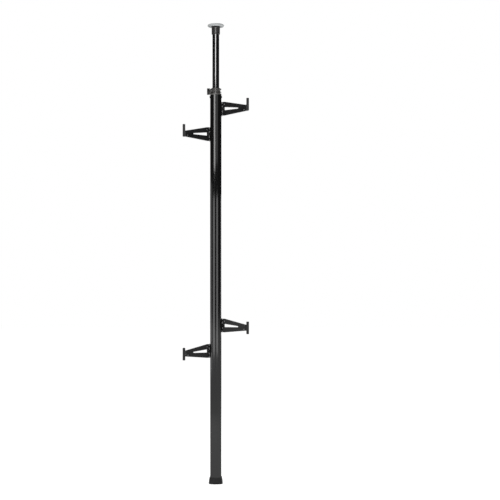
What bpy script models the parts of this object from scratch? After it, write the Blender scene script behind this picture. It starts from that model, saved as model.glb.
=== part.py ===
"""Bike storage stand: a column wedged between floor and ceiling, with four arms that slide and swivel.

The origin is the centre of the foot's underside, on the floor. +Z is up, the arms reach towards -Y and +X is
the right-hand side seen from the front. Everything is in metres.
"""

import math

import bmesh
import bpy
from mathutils import Matrix, Vector

MM = 0.001
FIT = 0.3 * MM  # gap between two pieces that touch
OVERLAP = 1 * MM  # how far a solid reaches into the one it is joined to, or a tool out of the one it cuts

# Column
OVERALL_HEIGHT = 2440 * MM
COLUMN_TOP = 2064 * MM
COLUMN_WIDTH = 60 * MM
COLUMN_CORNER = 9 * MM
COLUMN_CROWN = 70 * MM  # radius of the slightly domed front and back faces
COLUMN_WALL = 2.4 * MM
SLOT_MOUTH = 8.4 * MM
SLOT_LIP = 2 * MM
SLOT_WIDTH = 16.4 * MM
SLOT_DEPTH = 4.6 * MM
SLOT_WEB = 1.6 * MM
SLIDER_CORNER = 3 * MM

# Rubber foot
FOOT_WIDTH = 73.8 * MM
FOOT_RIM_WIDTH = 64 * MM
FOOT_HEIGHT = 34 * MM
FOOT_FLARE = 1.9  # power of the curve from the sole up to the rim
FOOT_FLOOR = 8 * MM
FOOT_EDGE = 2 * MM

# Telescoping tube and what it holds
TUBE_RADIUS = 18 * MM
TUBE_WALL = 1.8 * MM
TUBE_LENGTH = 1085 * MM
GUIDE_HEIGHT = 22 * MM
GUIDE_SPIGOT = 28 * MM
GUIDE_BORE_RADIUS = 9 * MM
SEAT_DEPTH = 157 * MM  # below the tube's top
SEAT_HEIGHT = 25 * MM
SEAT_EDGE = 1.5 * MM
SEAT_PIN_RADIUS = 2.5 * MM
SPRING_RADIUS = 13 * MM  # to the middle of the wire
SPRING_WIRE_RADIUS = 1.6 * MM
SPRING_TURNS = 9
SPRING_HEIGHT = 90 * MM

# Plunger and ceiling pad
CUP_WALL = 3.7 * MM
CUP_SKIRT = 10.5 * MM  # how far the cup reaches down over the tube
CUP_PLATE = 3 * MM
CUP_CHAMFER = 1.2 * MM
CUP_RING_HEIGHT = 6.5 * MM
CUP_RING = 0.5 * MM  # beyond the cup's side
CUP_SHOULDER = 0.5 * MM
PLUNGER_ROOM = 29 * MM  # between the tube's top and the cup's plate at rest
STEM_WALL = 5.4 * MM
STEM_TOP_WALL = 4 * MM
PAD_RADIUS = 43.5 * MM
PAD_HEIGHT = 13.7 * MM
PAD_EDGE = 8 * MM  # how far the rounded rim reaches in from the widest point
PAD_RECESS = 3 * MM  # in its underside, for the cup's ring
PAD_SCREW_RADIUS = 3 * MM
PAD_SCREW_HEAD_RADIUS = 6.5 * MM
PAD_SCREW_HEAD = 4.5 * MM
PAD_SCREW_GRIP = 8 * MM  # length of thread in the pad

# Clamp collar on the column's top
COLLAR_FLANGE_INSET = 0.2 * MM
COLLAR_FLANGE = 5 * MM
COLLAR_HEIGHT = 37 * MM
COLLAR_WALL = 6 * MM
COLLAR_WAIST = 6.2 * MM
COLLAR_RING = 11.6 * MM
COLLAR_LIP = 11 * MM
COLLAR_RIM = 3 * MM
COLLAR_RIM_DROP = 2 * MM
COLLAR_LIP_DROP = 4 * MM  # from the top to the lip's upper edge
COLLAR_LIP_HEIGHT = 4.5 * MM
COLLAR_LIP_UNDERCUT = 3 * MM
COLLAR_RING_RISE = 3.5 * MM
COLLAR_RING_DROP = 3 * MM  # from the clamp axis to the ring's upper edge
COLLAR_RING_HEIGHT = 2 * MM
COLLAR_RING_UNDERCUT = 3 * MM
COLLAR_SPIGOT = 45 * MM
COLLAR_RIB_WIDTH = 6 * MM
COLLAR_RIB_INSET = 0.6 * MM
COLLAR_RIB_DROP = 6 * MM
COLLAR_TONGUE = 24 * MM  # depth of the two tongues that fill the side slots
CLAMP_HEIGHT = 19 * MM  # clamp axis above the column's top
BOSS_RADIUS = 13 * MM
BOSS_END = 30.3 * MM
KNOB_RADIUS = 17.2 * MM
KNOB_THICKNESS = 16.2 * MM
KNOB_LOBES = 8
KNOB_LOBE_DEPTH = 2.2 * MM
KNOB_EDGE = 1.6 * MM
KNOB_HUB_RADIUS = 11 * MM
KNOB_HUB_HEIGHT = 1 * MM
KNOB_DISH = 1.4 * MM
KNOB_DISH_RADIUS = 10.6 * MM
KNOB_DISH_FLOOR = 9 * MM
STUD_RADIUS = 4 * MM
PRESSURE_PAD_RADIUS = 6 * MM
PRESSURE_PAD_THICKNESS = 2.7 * MM
COLLAR_SCREW_DROP = 10 * MM  # below the column's top
COLLAR_SCREW_RADIUS = 2.5 * MM
COLLAR_SCREW_HEAD_RADIUS = 6.6 * MM
COLLAR_SCREW_HEAD = 2.8 * MM

# Arm carriages. Heights are those of the middle of each arm's root.
ARM_HEIGHTS = {
    "upper_right": 1989.5 * MM,
    "upper_left": 1855 * MM,
    "lower_right": 840 * MM,
    "lower_left": 705 * MM,
}
BRACKET_THICKNESS = 4 * MM
BRACKET_FRONT = 25 * MM
BRACKET_BACK = 20 * MM
BRACKET_CORNER = 4 * MM
BRACKET_EDGE = 0.8 * MM
BRACKET_KEY_HALF_HEIGHT = 33 * MM
NUT_HALF_HEIGHT = 34 * MM
BRACKET_SCREW_SPACING = 46 * MM
BRACKET_SCREW_RADIUS = 2.5 * MM
BRACKET_SCREW_HEAD_RADIUS = 5.2 * MM
BRACKET_SCREW_HEAD = 3.3 * MM
PIVOT_X = 41.3 * MM
PIVOT_Y = -16 * MM
PIVOT_PIN_RADIUS = 3 * MM
PIVOT_PIN_EDGE = 0.6 * MM
KNUCKLE_RADIUS = 6.5 * MM
KNUCKLE_HALF_HEIGHT = 8.1 * MM

# Arms, in the frame of their carriage
ARM_THICKNESS = 11 * MM
ARM_ROOT_HALF_HEIGHT = 36 * MM
ARM_ROOT_END = 46.8 * MM
ARM_CORNER = 4 * MM  # in the front view
ARM_BEND_X = 163.7 * MM
ARM_BEND_Y = -104 * MM
ARM_BEND_RADIUS = 16 * MM
ARM_TOP = 9.5 * MM
ARM_BOTTOM = -21.5 * MM
WINDOW_TIP_X = 117.6 * MM
WINDOW_TIP_Z = -3 * MM
WINDOW_TIP_RADIUS = 3 * MM
WINDOW_CORNER = 3 * MM
WINDOW_MARGIN = 2.3 * MM  # from the knuckles to the window
CRADLE_START = -114 * MM
CRADLE_END = -199.6 * MM
SLEEVE_WALL = 1.6 * MM
SLEEVE_CORNER = 3 * MM
CORE_CORNER = 1.5 * MM
STOP_THICKNESS = 9 * MM
STOP_WIDTH = 13.4 * MM
STOP_HALF_HEIGHT = 32.2 * MM
STOP_POCKET = 4.6 * MM
STOP_CORNER = 3 * MM
STOP_EDGE = 1 * MM
LOCK_SCREW_REACH = 9 * MM
LOCK_SCREW_Z = 23 * MM
COVER_SCREW_REACH = 134 * MM
COVER_SCREW_Z = -14 * MM
SMALL_SCREW_RADIUS = 1.6 * MM
SMALL_SCREW_HEAD_RADIUS = 3.4 * MM
SMALL_SCREW_HEAD = 2 * MM
SMALL_SCREW_LENGTH = 6 * MM

# Heights that follow from the lengths above
PAD_BOTTOM = OVERALL_HEIGHT - PAD_HEIGHT
CUP_TOP = PAD_BOTTOM + PAD_RECESS - FIT
PLATE_BOTTOM = CUP_TOP - CUP_PLATE
TUBE_TOP = PLATE_BOTTOM - PLUNGER_ROOM
TUBE_BOTTOM = TUBE_TOP - TUBE_LENGTH
CUP_BOTTOM = TUBE_TOP - CUP_SKIRT
SEAT_TOP = TUBE_TOP - SEAT_DEPTH

# Number of facets
CORNER_STEPS = 4
CROWN_STEPS = 3
ROUND_STEPS = 30
SMALL_STEPS = 12
HOLE_STEPS = 12

COLOURS = {
    "anodised_black": ((0.035, 0.036, 0.038), 0.38, 0.6),
    "gloss_black": ((0.012, 0.012, 0.013), 0.2, 0.4),
    "grey_plastic": ((0.09, 0.09, 0.095), 0.5, 0.0),
    "black_plastic": ((0.03, 0.03, 0.032), 0.5, 0.0),
    "arm_black": ((0.028, 0.028, 0.03), 0.42, 0.3),
    "black_rubber": ((0.025, 0.025, 0.026), 0.8, 0.0),
    "light_rubber": ((0.48, 0.48, 0.47), 0.75, 0.0),
    "steel": ((0.55, 0.55, 0.56), 0.35, 1.0),
    "black_steel": ((0.05, 0.05, 0.052), 0.4, 0.8),
}


# Outlines

def arc(centre, radius, start, end, steps):
    """Points on an arc between two angles in radians, both ends included."""
    points = []
    for step in range(steps + 1):
        angle = start + (end - start) * step / steps
        x = centre[0] + radius * math.cos(angle)
        y = centre[1] + radius * math.sin(angle)
        points.append((x, y))
    return points


def circle(centre, radius, steps):
    return arc(centre, radius, 0, 2 * math.pi, steps)[:-1]


def rounded(corners, steps=3):
    """Closed outline through corners (x, y, radius), each rounded by its own radius."""
    outline = []
    for index, (x, y, radius) in enumerate(corners):
        if radius == 0:
            outline.append((x, y))
            continue
        corner = Vector((x, y))
        following = corners[(index + 1) % len(corners)]
        before = (Vector(corners[index - 1][:2]) - corner).normalized()
        after = (Vector(following[:2]) - corner).normalized()
        half = before.angle(after) / 2
        centre = corner + (before + after).normalized() * radius / math.sin(half)
        first = corner + before * radius / math.tan(half) - centre
        last = corner + after * radius / math.tan(half) - centre
        start = math.atan2(first.y, first.x)
        sweep = math.atan2(first.x * last.y - first.y * last.x, first.dot(last))
        outline += arc(centre, radius, start, start + sweep, steps)
    return outline


def rounded_box(low, high, radius, steps=3):
    """Outline of a rectangle from its low corner to its high corner, with round corners."""
    (left, bottom), (right, top) = low, high
    corners = [(left, bottom), (right, bottom), (right, top), (left, top)]
    return rounded([(x, y, radius) for x, y in corners], steps)


def crowned_quarter(width, depth, corner, crown):
    """First quadrant of a rounded square with domed front and back: a corner arc, then half the dome."""
    crown_y = depth / 2 - crown
    corner_x = width / 2 - corner
    corner_y = crown_y + math.sqrt((crown - corner) ** 2 - corner_x**2)
    meeting = math.atan2(corner_y - crown_y, corner_x)
    side = arc((corner_x, corner_y), corner, 0, meeting, CORNER_STEPS)
    return side + arc((0, crown_y), crown, meeting, math.pi / 2, CROWN_STEPS)[1:]


def all_quarters(quarter):
    """Closed outline from its first quadrant, which runs from the +X side to the point on the Y axis."""
    upper = quarter + [(-x, y) for x, y in reversed(quarter[:-1])]
    return upper + [(-x, -y) for x, y in upper]


def column_offset(offset):
    """The column's outer outline without its slots, moved outwards by an offset."""
    width = COLUMN_WIDTH + 2 * offset
    return crowned_quarter(width, width, COLUMN_CORNER + offset, COLUMN_CROWN + offset)


def slot_floor():
    return COLUMN_WIDTH / 2 - SLOT_LIP - SLOT_DEPTH


def void_half_width():
    return slot_floor() - SLOT_WEB


def slider_outline():
    """Outline that slides in the column's middle chamber."""
    depth = COLUMN_WIDTH - 2 * COLUMN_WALL - 2 * FIT
    width = 2 * (void_half_width() - FIT)
    crown = COLUMN_CROWN - COLUMN_WALL - FIT
    return all_quarters(crowned_quarter(width, depth, SLIDER_CORNER, crown))


# Solids

def in_workshop(mesh):
    """A working object for a mesh. It is kept out of renders and drawn as wire."""
    obj = bpy.data.objects.new("working_shape", mesh)
    obj.hide_render = True
    obj.display_type = "WIRE"
    WORKSHOP.objects.link(obj)
    return obj


def applied(obj):
    """The mesh of an object with its modifiers or its curve evaluated, welded, with faces outwards."""
    bpy.context.view_layer.update()
    graph = bpy.context.evaluated_depsgraph_get()
    mesh = bpy.data.meshes.new_from_object(obj.evaluated_get(graph))
    work = bmesh.new()
    work.from_mesh(mesh)
    bmesh.ops.remove_doubles(work, verts=work.verts, dist=0.002 * MM)
    bmesh.ops.recalc_face_normals(work, faces=work.faces)
    work.to_mesh(mesh)
    work.free()
    return mesh


def solid_from(obj, matrix=None):
    """A working object with everything of the given one applied, and the given one removed."""
    mesh = applied(obj)
    if matrix is not None:
        mesh.transform(matrix)
    data = obj.data
    bpy.data.objects.remove(obj)
    if isinstance(data, bpy.types.Curve):
        bpy.data.curves.remove(data)
    return in_workshop(mesh)


def along(direction, origin=(0, 0, 0)):
    """Matrix that turns +Z into a direction and moves the origin."""
    turn = Vector((0, 0, 1)).rotation_difference(Vector(direction))
    return Matrix.Translation(origin) @ turn.to_matrix().to_4x4()


PLANES = {
    "XY": Matrix(((1, 0, 0, 0), (0, 1, 0, 0), (0, 0, 1, 0), (0, 0, 0, 1))),
    "XZ": Matrix(((1, 0, 0, 0), (0, 0, 1, 0), (0, 1, 0, 0), (0, 0, 0, 1))),
    "YZ": Matrix(((0, 0, 1, 0), (1, 0, 0, 0), (0, 1, 0, 0), (0, 0, 0, 1))),
}


def prism(outlines, low, high, plane="XY"):
    """Outlines in a plane, extruded between two values of the third axis. All but the first are holes."""
    curve = bpy.data.curves.new("outline", "CURVE")
    curve.dimensions = "2D"
    curve.fill_mode = "BOTH"
    curve.extrude = (high - low) / 2
    for outline in outlines:
        spline = curve.splines.new("POLY")
        spline.points.add(len(outline) - 1)
        for point, (x, y) in zip(spline.points, outline):
            point.co = (x, y, 0, 1)
        spline.use_cyclic_u = True
    obj = in_workshop(curve)
    obj = solid_from(obj, PLANES[plane] @ Matrix.Translation((0, 0, (low + high) / 2)))
    return solid_from(obj)


def turned(profile, steps=ROUND_STEPS, matrix=None, closed=False):
    """Solid turned about +Z from (radius, height) points that run down its outer side."""
    mesh = bpy.data.meshes.new("profile")
    edges = [(index, index + 1) for index in range(len(profile) - 1)]
    if closed:
        edges.append((len(profile) - 1, 0))
    mesh.from_pydata([(radius, 0, height) for radius, height in profile], edges, [])
    obj = in_workshop(mesh)
    screw = obj.modifiers.new("Turn", "SCREW")
    screw.steps = steps
    screw.render_steps = steps
    screw.use_merge_vertices = True
    screw.merge_threshold = 0.01 * MM
    return solid_from(obj, matrix)


def rod(radius, low, high, matrix=None, steps=HOLE_STEPS):
    """Cylinder about +Z between two heights."""
    work = bmesh.new()
    bmesh.ops.create_cone(
        work, cap_ends=True, segments=steps, radius1=radius, radius2=radius, depth=high - low
    )
    bmesh.ops.translate(work, verts=work.verts, vec=(0, 0, (low + high) / 2))
    if matrix is not None:
        bmesh.ops.transform(work, matrix=matrix, verts=work.verts)
    mesh = bpy.data.meshes.new("rod")
    work.to_mesh(mesh)
    work.free()
    return in_workshop(mesh)


def block(low, high):
    """Box between two corners."""
    low = Vector(low)
    high = Vector(high)
    work = bmesh.new()
    size = Matrix.Diagonal((*(high - low), 1))
    bmesh.ops.create_cube(work, size=1, matrix=Matrix.Translation((low + high) / 2) @ size)
    mesh = bpy.data.meshes.new("block")
    work.to_mesh(mesh)
    work.free()
    return in_workshop(mesh)


def loft(sections):
    """Solid through outlines of equal point count, given as (height, outline) from the bottom up."""
    work = bmesh.new()
    rings = [[work.verts.new((x, y, height)) for x, y in outline] for height, outline in sections]
    for lower, upper in zip(rings, rings[1:]):
        for index in range(len(lower)):
            after = (index + 1) % len(lower)
            work.faces.new((lower[index], lower[after], upper[after], upper[index]))
    work.faces.new(reversed(rings[0]))
    work.faces.new(rings[-1])
    mesh = bpy.data.meshes.new("loft")
    work.to_mesh(mesh)
    work.free()
    return in_workshop(mesh)


def combine(target, tools, operation):
    """Applies one Boolean after another to the target and removes the tools."""
    for tool in tools:
        modifier = target.modifiers.new("Combine", "BOOLEAN")
        modifier.operation = operation
        modifier.object = tool
        target = solid_from(target)
        bpy.data.objects.remove(tool)
    return target


def join(target, *tools):
    return combine(target, tools, "UNION")


def cut(target, *tools):
    return combine(target, tools, "DIFFERENCE")


def common(target, tool):
    return combine(target, [tool], "INTERSECT")


def softened(target, width, segments=1):
    """The target with its sharp edges bevelled."""
    modifier = target.modifiers.new("Edges", "BEVEL")
    modifier.width = width
    modifier.segments = segments
    modifier.limit_method = "ANGLE"
    modifier.angle_limit = math.radians(40)
    return solid_from(target)


def mirrored(mesh):
    """A copy of the mesh mirrored to the other side."""
    copy = mesh.copy()
    copy.transform(Matrix.Scale(-1, 4, (1, 0, 0)))
    copy.flip_normals()
    return copy


def frame_empty(name, location, parent=None):
    """An empty on a joint's axis. The location is in world coordinates."""
    empty = bpy.data.objects.new(name, None)
    empty.empty_display_size = 30 * MM
    PARTS.objects.link(empty)
    empty.parent = parent
    start = parent.matrix_world.translation if parent else Vector((0, 0, 0))
    empty.location = Vector(location) - start
    bpy.context.view_layer.update()
    return empty


def piece(name, mesh, material, parent=None):
    """A named part with its material. Its mesh is in its parent's frame."""
    mesh.name = name
    mesh.materials.clear()
    mesh.materials.append(MATERIALS[material])
    mesh.shade_smooth()
    mesh.set_sharp_from_angle(angle=math.radians(32))
    obj = bpy.data.objects.new(name, mesh)
    PARTS.objects.link(obj)
    obj.parent = parent
    return obj


def part(name, solid, material, parent=None):
    """A named part from a working solid in world coordinates, with its origin on its parent's."""
    mesh = solid.data
    bpy.data.objects.remove(solid)
    if parent is not None:
        mesh.transform(Matrix.Translation(-parent.matrix_world.translation))
    return piece(name, mesh, material, parent)


def screw(radius, length, head_radius, head, steps=SMALL_STEPS):
    """Button-head screw with its head's underside at height 0 and its shank below."""
    crown = 0.62 * head_radius
    solid = turned(
        [
            (0, head),
            (crown, head),
            (0.9 * head_radius, 0.6 * head),
            (head_radius, 0),
            (radius, 0),
            (radius, -length),
            (0, -length),
        ],
        steps,
    )
    socket = rod(0.4 * head_radius, 0.35 * head, head + FIT, steps=6)
    return cut(solid, socket)


def moved(solid, matrix):
    solid.data.transform(matrix)
    return solid


# Column and foot

def make_column(column):
    mouth = SLOT_MOUTH / 2
    side = SLOT_WIDTH / 2
    lip = COLUMN_WIDTH / 2 - SLOT_LIP
    slot = [(slot_floor(), side), (lip, side), (lip, mouth), (COLUMN_WIDTH / 2, mouth)]
    chamber = side + SLOT_WEB
    inner = [(void_half_width(), chamber), (COLUMN_WIDTH / 2 - COLUMN_WALL, chamber)]
    outside = all_quarters(slot + column_offset(0))
    inside = all_quarters(inner + column_offset(-COLUMN_WALL))
    solid = prism([outside, inside], FOOT_FLOOR + FIT, COLUMN_TOP)
    part("column_extrusion", solid, "anodised_black", column)


def make_foot(column):
    """Rubber boot: a rounded-square loft that swells towards the floor, with a pocket for the column."""
    spread = (FOOT_WIDTH - FOOT_RIM_WIDTH) / 2
    rim = (FOOT_RIM_WIDTH - COLUMN_WIDTH) / 2
    sections = [(0, all_quarters(column_offset(rim + spread - FOOT_EDGE)))]
    sections.append((0.3 * FOOT_EDGE, all_quarters(column_offset(rim + spread - 0.3 * FOOT_EDGE))))
    rings = 5
    for ring in range(rings + 1):
        share = ring / rings
        height = FOOT_EDGE + (FOOT_HEIGHT - FOOT_EDGE) * share
        sections.append((height, all_quarters(column_offset(rim + spread * (1 - share**FOOT_FLARE)))))
    pocket = all_quarters(column_offset(FIT))
    solid = cut(loft(sections), prism([pocket], FOOT_FLOOR, FOOT_HEIGHT + FOOT_EDGE))
    part("foot_boot", solid, "black_rubber", column)


# Clamp collar

def clamp_axis(distance):
    """Matrix whose +Z points out of the clamp boss, to the left, from a distance off the column's middle."""
    return along((-1, 0, 0), (-distance, 0, COLUMN_TOP + CLAMP_HEIGHT))


def make_collar(column):
    bore = TUBE_RADIUS + FIT
    base = COLUMN_TOP + FIT
    top = COLUMN_TOP + COLLAR_HEIGHT
    lower = base + COLLAR_FLANGE
    lip = top - COLLAR_LIP_DROP
    ring = COLUMN_TOP + CLAMP_HEIGHT - COLLAR_RING_DROP
    body = turned(
        [
            (0, top),
            (bore + COLLAR_RIM, top),
            (bore + COLLAR_WAIST, top - COLLAR_RIM_DROP),
            (bore + COLLAR_LIP, lip),
            (bore + COLLAR_LIP, lip - COLLAR_LIP_HEIGHT),
            (bore + COLLAR_WALL, lip - COLLAR_LIP_HEIGHT - COLLAR_LIP_UNDERCUT),
            (bore + COLLAR_WALL, ring + COLLAR_RING_RISE),
            (bore + COLLAR_RING, ring),
            (bore + COLLAR_RING, ring - COLLAR_RING_HEIGHT),
            (bore + COLLAR_WAIST, ring - COLLAR_RING_HEIGHT - COLLAR_RING_UNDERCUT),
            (bore + COLLAR_WAIST, lower - OVERLAP),
            (0, lower - OVERLAP),
        ]
    )
    flange = prism([all_quarters(column_offset(-COLLAR_FLANGE_INSET))], base, lower)
    spigot = prism([slider_outline()], COLUMN_TOP - COLLAR_SPIGOT, base + OVERLAP)
    tongue_low = slot_floor() + FIT
    tongue_high = COLUMN_WIDTH / 2 - SLOT_LIP - FIT
    tongue_side = SLOT_WIDTH / 2 - FIT
    tongues = []
    for side in (-1, 1):
        low, high = sorted((side * tongue_low, side * tongue_high))
        corner = (low, -tongue_side, COLUMN_TOP - COLLAR_TONGUE)
        tongues.append(block(corner, (high, tongue_side, base + OVERLAP)))
    reach = bore + COLLAR_LIP - COLLAR_RIB_INSET
    rib = block(
        (-COLLAR_RIB_WIDTH / 2, -reach, lower - OVERLAP),
        (COLLAR_RIB_WIDTH / 2, reach, top - COLLAR_RIB_DROP),
    )
    boss_start = bore - OVERLAP
    boss = rod(BOSS_RADIUS, 0, BOSS_END - boss_start, clamp_axis(boss_start), 18)
    solid = join(flange, spigot, *tongues, body, rib, boss)
    pad_end = bore + PRESSURE_PAD_THICKNESS + FIT
    screw_axis = along((1, 0, 0), (0, 0, COLUMN_TOP - COLLAR_SCREW_DROP))
    solid = cut(
        solid,
        rod(bore, COLUMN_TOP - COLLAR_SPIGOT - OVERLAP, top + OVERLAP, steps=ROUND_STEPS),
        rod(STUD_RADIUS + FIT, 0, BOSS_END, clamp_axis(bore - OVERLAP), HOLE_STEPS),
        rod(PRESSURE_PAD_RADIUS + FIT, 0, pad_end, clamp_axis(0), SMALL_STEPS),
    )
    for side in (-1, 1):
        low, high = sorted((side * (tongue_low - OVERLAP), side * (tongue_high + OVERLAP)))
        solid = cut(solid, rod(COLLAR_SCREW_RADIUS + FIT, low, high, screw_axis))
    part("clamp_collar", solid, "grey_plastic", column)

    pad = rod(PRESSURE_PAD_RADIUS, 0, PRESSURE_PAD_THICKNESS, clamp_axis(bore), SMALL_STEPS)
    part("clamp_pressure_pad", pad, "black_plastic", column)

    head_seat = COLUMN_WIDTH / 2 + FIT
    for side, name in ((-1, "collar_screw_left"), (1, "collar_screw_right")):
        solid = screw(
            COLLAR_SCREW_RADIUS, head_seat - tongue_low, COLLAR_SCREW_HEAD_RADIUS, COLLAR_SCREW_HEAD
        )
        place = along((side, 0, 0), (side * head_seat, 0, COLUMN_TOP - COLLAR_SCREW_DROP))
        part(name, moved(solid, place), "black_steel", column)


def make_knob(knob):
    """Lobed hand knob with its stud. It is made about +Z, with the boss's end face at height 0."""
    lobed = []
    points = KNOB_LOBES * 6
    for index in range(points):
        angle = 2 * math.pi * index / points
        radius = KNOB_RADIUS - KNOB_LOBE_DEPTH * (1 - math.cos(KNOB_LOBES * angle)) / 2
        lobed.append((radius * math.cos(angle), radius * math.sin(angle)))
    grip = softened(prism([lobed], KNOB_HUB_HEIGHT, KNOB_THICKNESS), KNOB_EDGE, 2)
    dish = turned(
        [
            (0, KNOB_THICKNESS + OVERLAP),
            (KNOB_DISH_RADIUS, KNOB_THICKNESS + OVERLAP),
            (KNOB_DISH_RADIUS, KNOB_THICKNESS),
            (KNOB_DISH_FLOOR, KNOB_THICKNESS - KNOB_DISH),
            (0, KNOB_THICKNESS - KNOB_DISH),
        ],
        24,
    )
    grip = cut(grip, dish)
    hub = rod(KNOB_HUB_RADIUS, FIT, KNOB_HUB_HEIGHT + OVERLAP, steps=24)
    stud_length = BOSS_END - (TUBE_RADIUS + FIT + PRESSURE_PAD_THICKNESS + FIT)
    stud = rod(STUD_RADIUS, -stud_length, FIT + OVERLAP)
    solid = moved(join(grip, hub, stud), clamp_axis(BOSS_END))
    part("clamp_knob", solid, "black_plastic", knob)


# Telescoping tube

def tube_bore():
    return TUBE_RADIUS - TUBE_WALL


def make_tube(tube):
    outside = [(TUBE_RADIUS, TUBE_TOP), (TUBE_RADIUS, TUBE_BOTTOM)]
    inside = [(tube_bore(), TUBE_BOTTOM), (tube_bore(), TUBE_TOP)]
    pin_height = SEAT_TOP - SEAT_HEIGHT / 2
    across = along((1, 0, 0), (0, 0, pin_height))
    pin_hole = SEAT_PIN_RADIUS + FIT
    drill = rod(pin_hole, -TUBE_RADIUS - OVERLAP, TUBE_RADIUS + OVERLAP, across)
    solid = cut(turned(outside + inside, closed=True), drill)
    part("upper_tube", solid, "gloss_black", tube)

    slide = prism([slider_outline()], TUBE_BOTTOM - FIT - GUIDE_HEIGHT, TUBE_BOTTOM - FIT)
    spigot_top = TUBE_BOTTOM + GUIDE_SPIGOT
    spigot = rod(tube_bore() - FIT, TUBE_BOTTOM - FIT - OVERLAP, spigot_top, steps=ROUND_STEPS)
    bore_start = TUBE_BOTTOM - FIT - GUIDE_HEIGHT - OVERLAP
    bore = rod(GUIDE_BORE_RADIUS, bore_start, spigot_top + OVERLAP, steps=20)
    part("tube_guide_plug", cut(join(slide, spigot), bore), "black_plastic", tube)

    edge = SEAT_EDGE
    outer = tube_bore() - FIT
    seat = turned(
        [
            (0, SEAT_TOP),
            (outer - edge, SEAT_TOP),
            (outer, SEAT_TOP - edge),
            (outer, SEAT_TOP - SEAT_HEIGHT + edge),
            (outer - edge, SEAT_TOP - SEAT_HEIGHT),
            (0, SEAT_TOP - SEAT_HEIGHT),
        ]
    )
    part("spring_seat", cut(seat, rod(pin_hole, -TUBE_RADIUS, TUBE_RADIUS, across)), "black_plastic", tube)
    pin = rod(SEAT_PIN_RADIUS, FIT - TUBE_RADIUS, TUBE_RADIUS - FIT, across)
    part("spring_seat_pin", pin, "steel", tube)


def make_spring(tube):
    """Helical compression spring: one wire that climbs steadily from the seat to the stem."""
    curve = bpy.data.curves.new("wire", "CURVE")
    curve.dimensions = "3D"
    curve.bevel_depth = SPRING_WIRE_RADIUS
    curve.bevel_resolution = 1
    curve.use_fill_caps = True
    points = SPRING_TURNS * 8
    spline = curve.splines.new("POLY")
    spline.points.add(points)
    bottom = SEAT_TOP + FIT + 1.15 * SPRING_WIRE_RADIUS
    rise = SPRING_HEIGHT - 2 * FIT - 2.3 * SPRING_WIRE_RADIUS
    for index, point in enumerate(spline.points):
        angle = 2 * math.pi * SPRING_TURNS * index / points
        x = SPRING_RADIUS * math.cos(angle)
        y = SPRING_RADIUS * math.sin(angle)
        point.co = (x, y, bottom + rise * index / points, 1)
    part("tension_spring", solid_from(in_workshop(curve)), "steel", tube)


def make_plunger(plunger):
    inner = TUBE_RADIUS + FIT
    outer = inner + CUP_WALL
    ring = outer + CUP_RING
    hole = PAD_SCREW_RADIUS + FIT
    cup = turned(
        [
            (ring, CUP_TOP),
            (ring, CUP_TOP - CUP_RING_HEIGHT),
            (outer, CUP_TOP - CUP_RING_HEIGHT - CUP_SHOULDER),
            (outer, CUP_BOTTOM + CUP_CHAMFER),
            (outer - CUP_CHAMFER, CUP_BOTTOM),
            (inner, CUP_BOTTOM),
            (inner, PLATE_BOTTOM),
            (hole, PLATE_BOTTOM),
            (hole, CUP_TOP),
        ],
        closed=True,
    )
    part("plunger_cup", cup, "grey_plastic", plunger)

    stem_top = PLATE_BOTTOM - FIT
    stem_outer = tube_bore() - FIT
    stem_inner = stem_outer - STEM_WALL
    stem = turned(
        [
            (stem_outer, stem_top),
            (stem_outer, SEAT_TOP + SPRING_HEIGHT),
            (stem_inner, SEAT_TOP + SPRING_HEIGHT),
            (stem_inner, stem_top - STEM_TOP_WALL),
            (hole, stem_top - STEM_TOP_WALL),
            (hole, stem_top),
        ],
        closed=True,
    )
    part("plunger_stem", stem, "steel", plunger)

    middle = PAD_BOTTOM + PAD_HEIGHT / 2
    rim = PAD_RADIUS - PAD_EDGE
    steps = 6
    edge = []
    for step in range(steps + 1):
        angle = math.pi / 2 - math.pi * step / steps
        edge.append((rim + PAD_EDGE * math.cos(angle), middle + PAD_HEIGHT / 2 * math.sin(angle)))
    hole_top = PAD_BOTTOM + PAD_SCREW_GRIP + FIT
    recess = [(ring + FIT, PAD_BOTTOM), (ring + FIT, CUP_TOP + FIT), (hole, CUP_TOP + FIT)]
    profile = [(0, OVERALL_HEIGHT), *edge, *recess, (hole, hole_top), (0, hole_top)]
    part("ceiling_pad", turned(profile, 32), "light_rubber", plunger)

    head_seat = stem_top - STEM_TOP_WALL - FIT
    length = PAD_BOTTOM + PAD_SCREW_GRIP - head_seat
    solid = screw(PAD_SCREW_RADIUS, length, PAD_SCREW_HEAD_RADIUS, PAD_SCREW_HEAD)
    part("pad_screw", moved(solid, along((0, 0, -1), (0, 0, head_seat))), "steel", plunger)


# Arm carriage, in the frame of its own middle height and for the right-hand side

def bracket_face():
    return COLUMN_WIDTH / 2 + FIT + BRACKET_THICKNESS


def bracket_screw_heights():
    return {"top": BRACKET_SCREW_SPACING / 2, "bottom": -BRACKET_SCREW_SPACING / 2}


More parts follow.
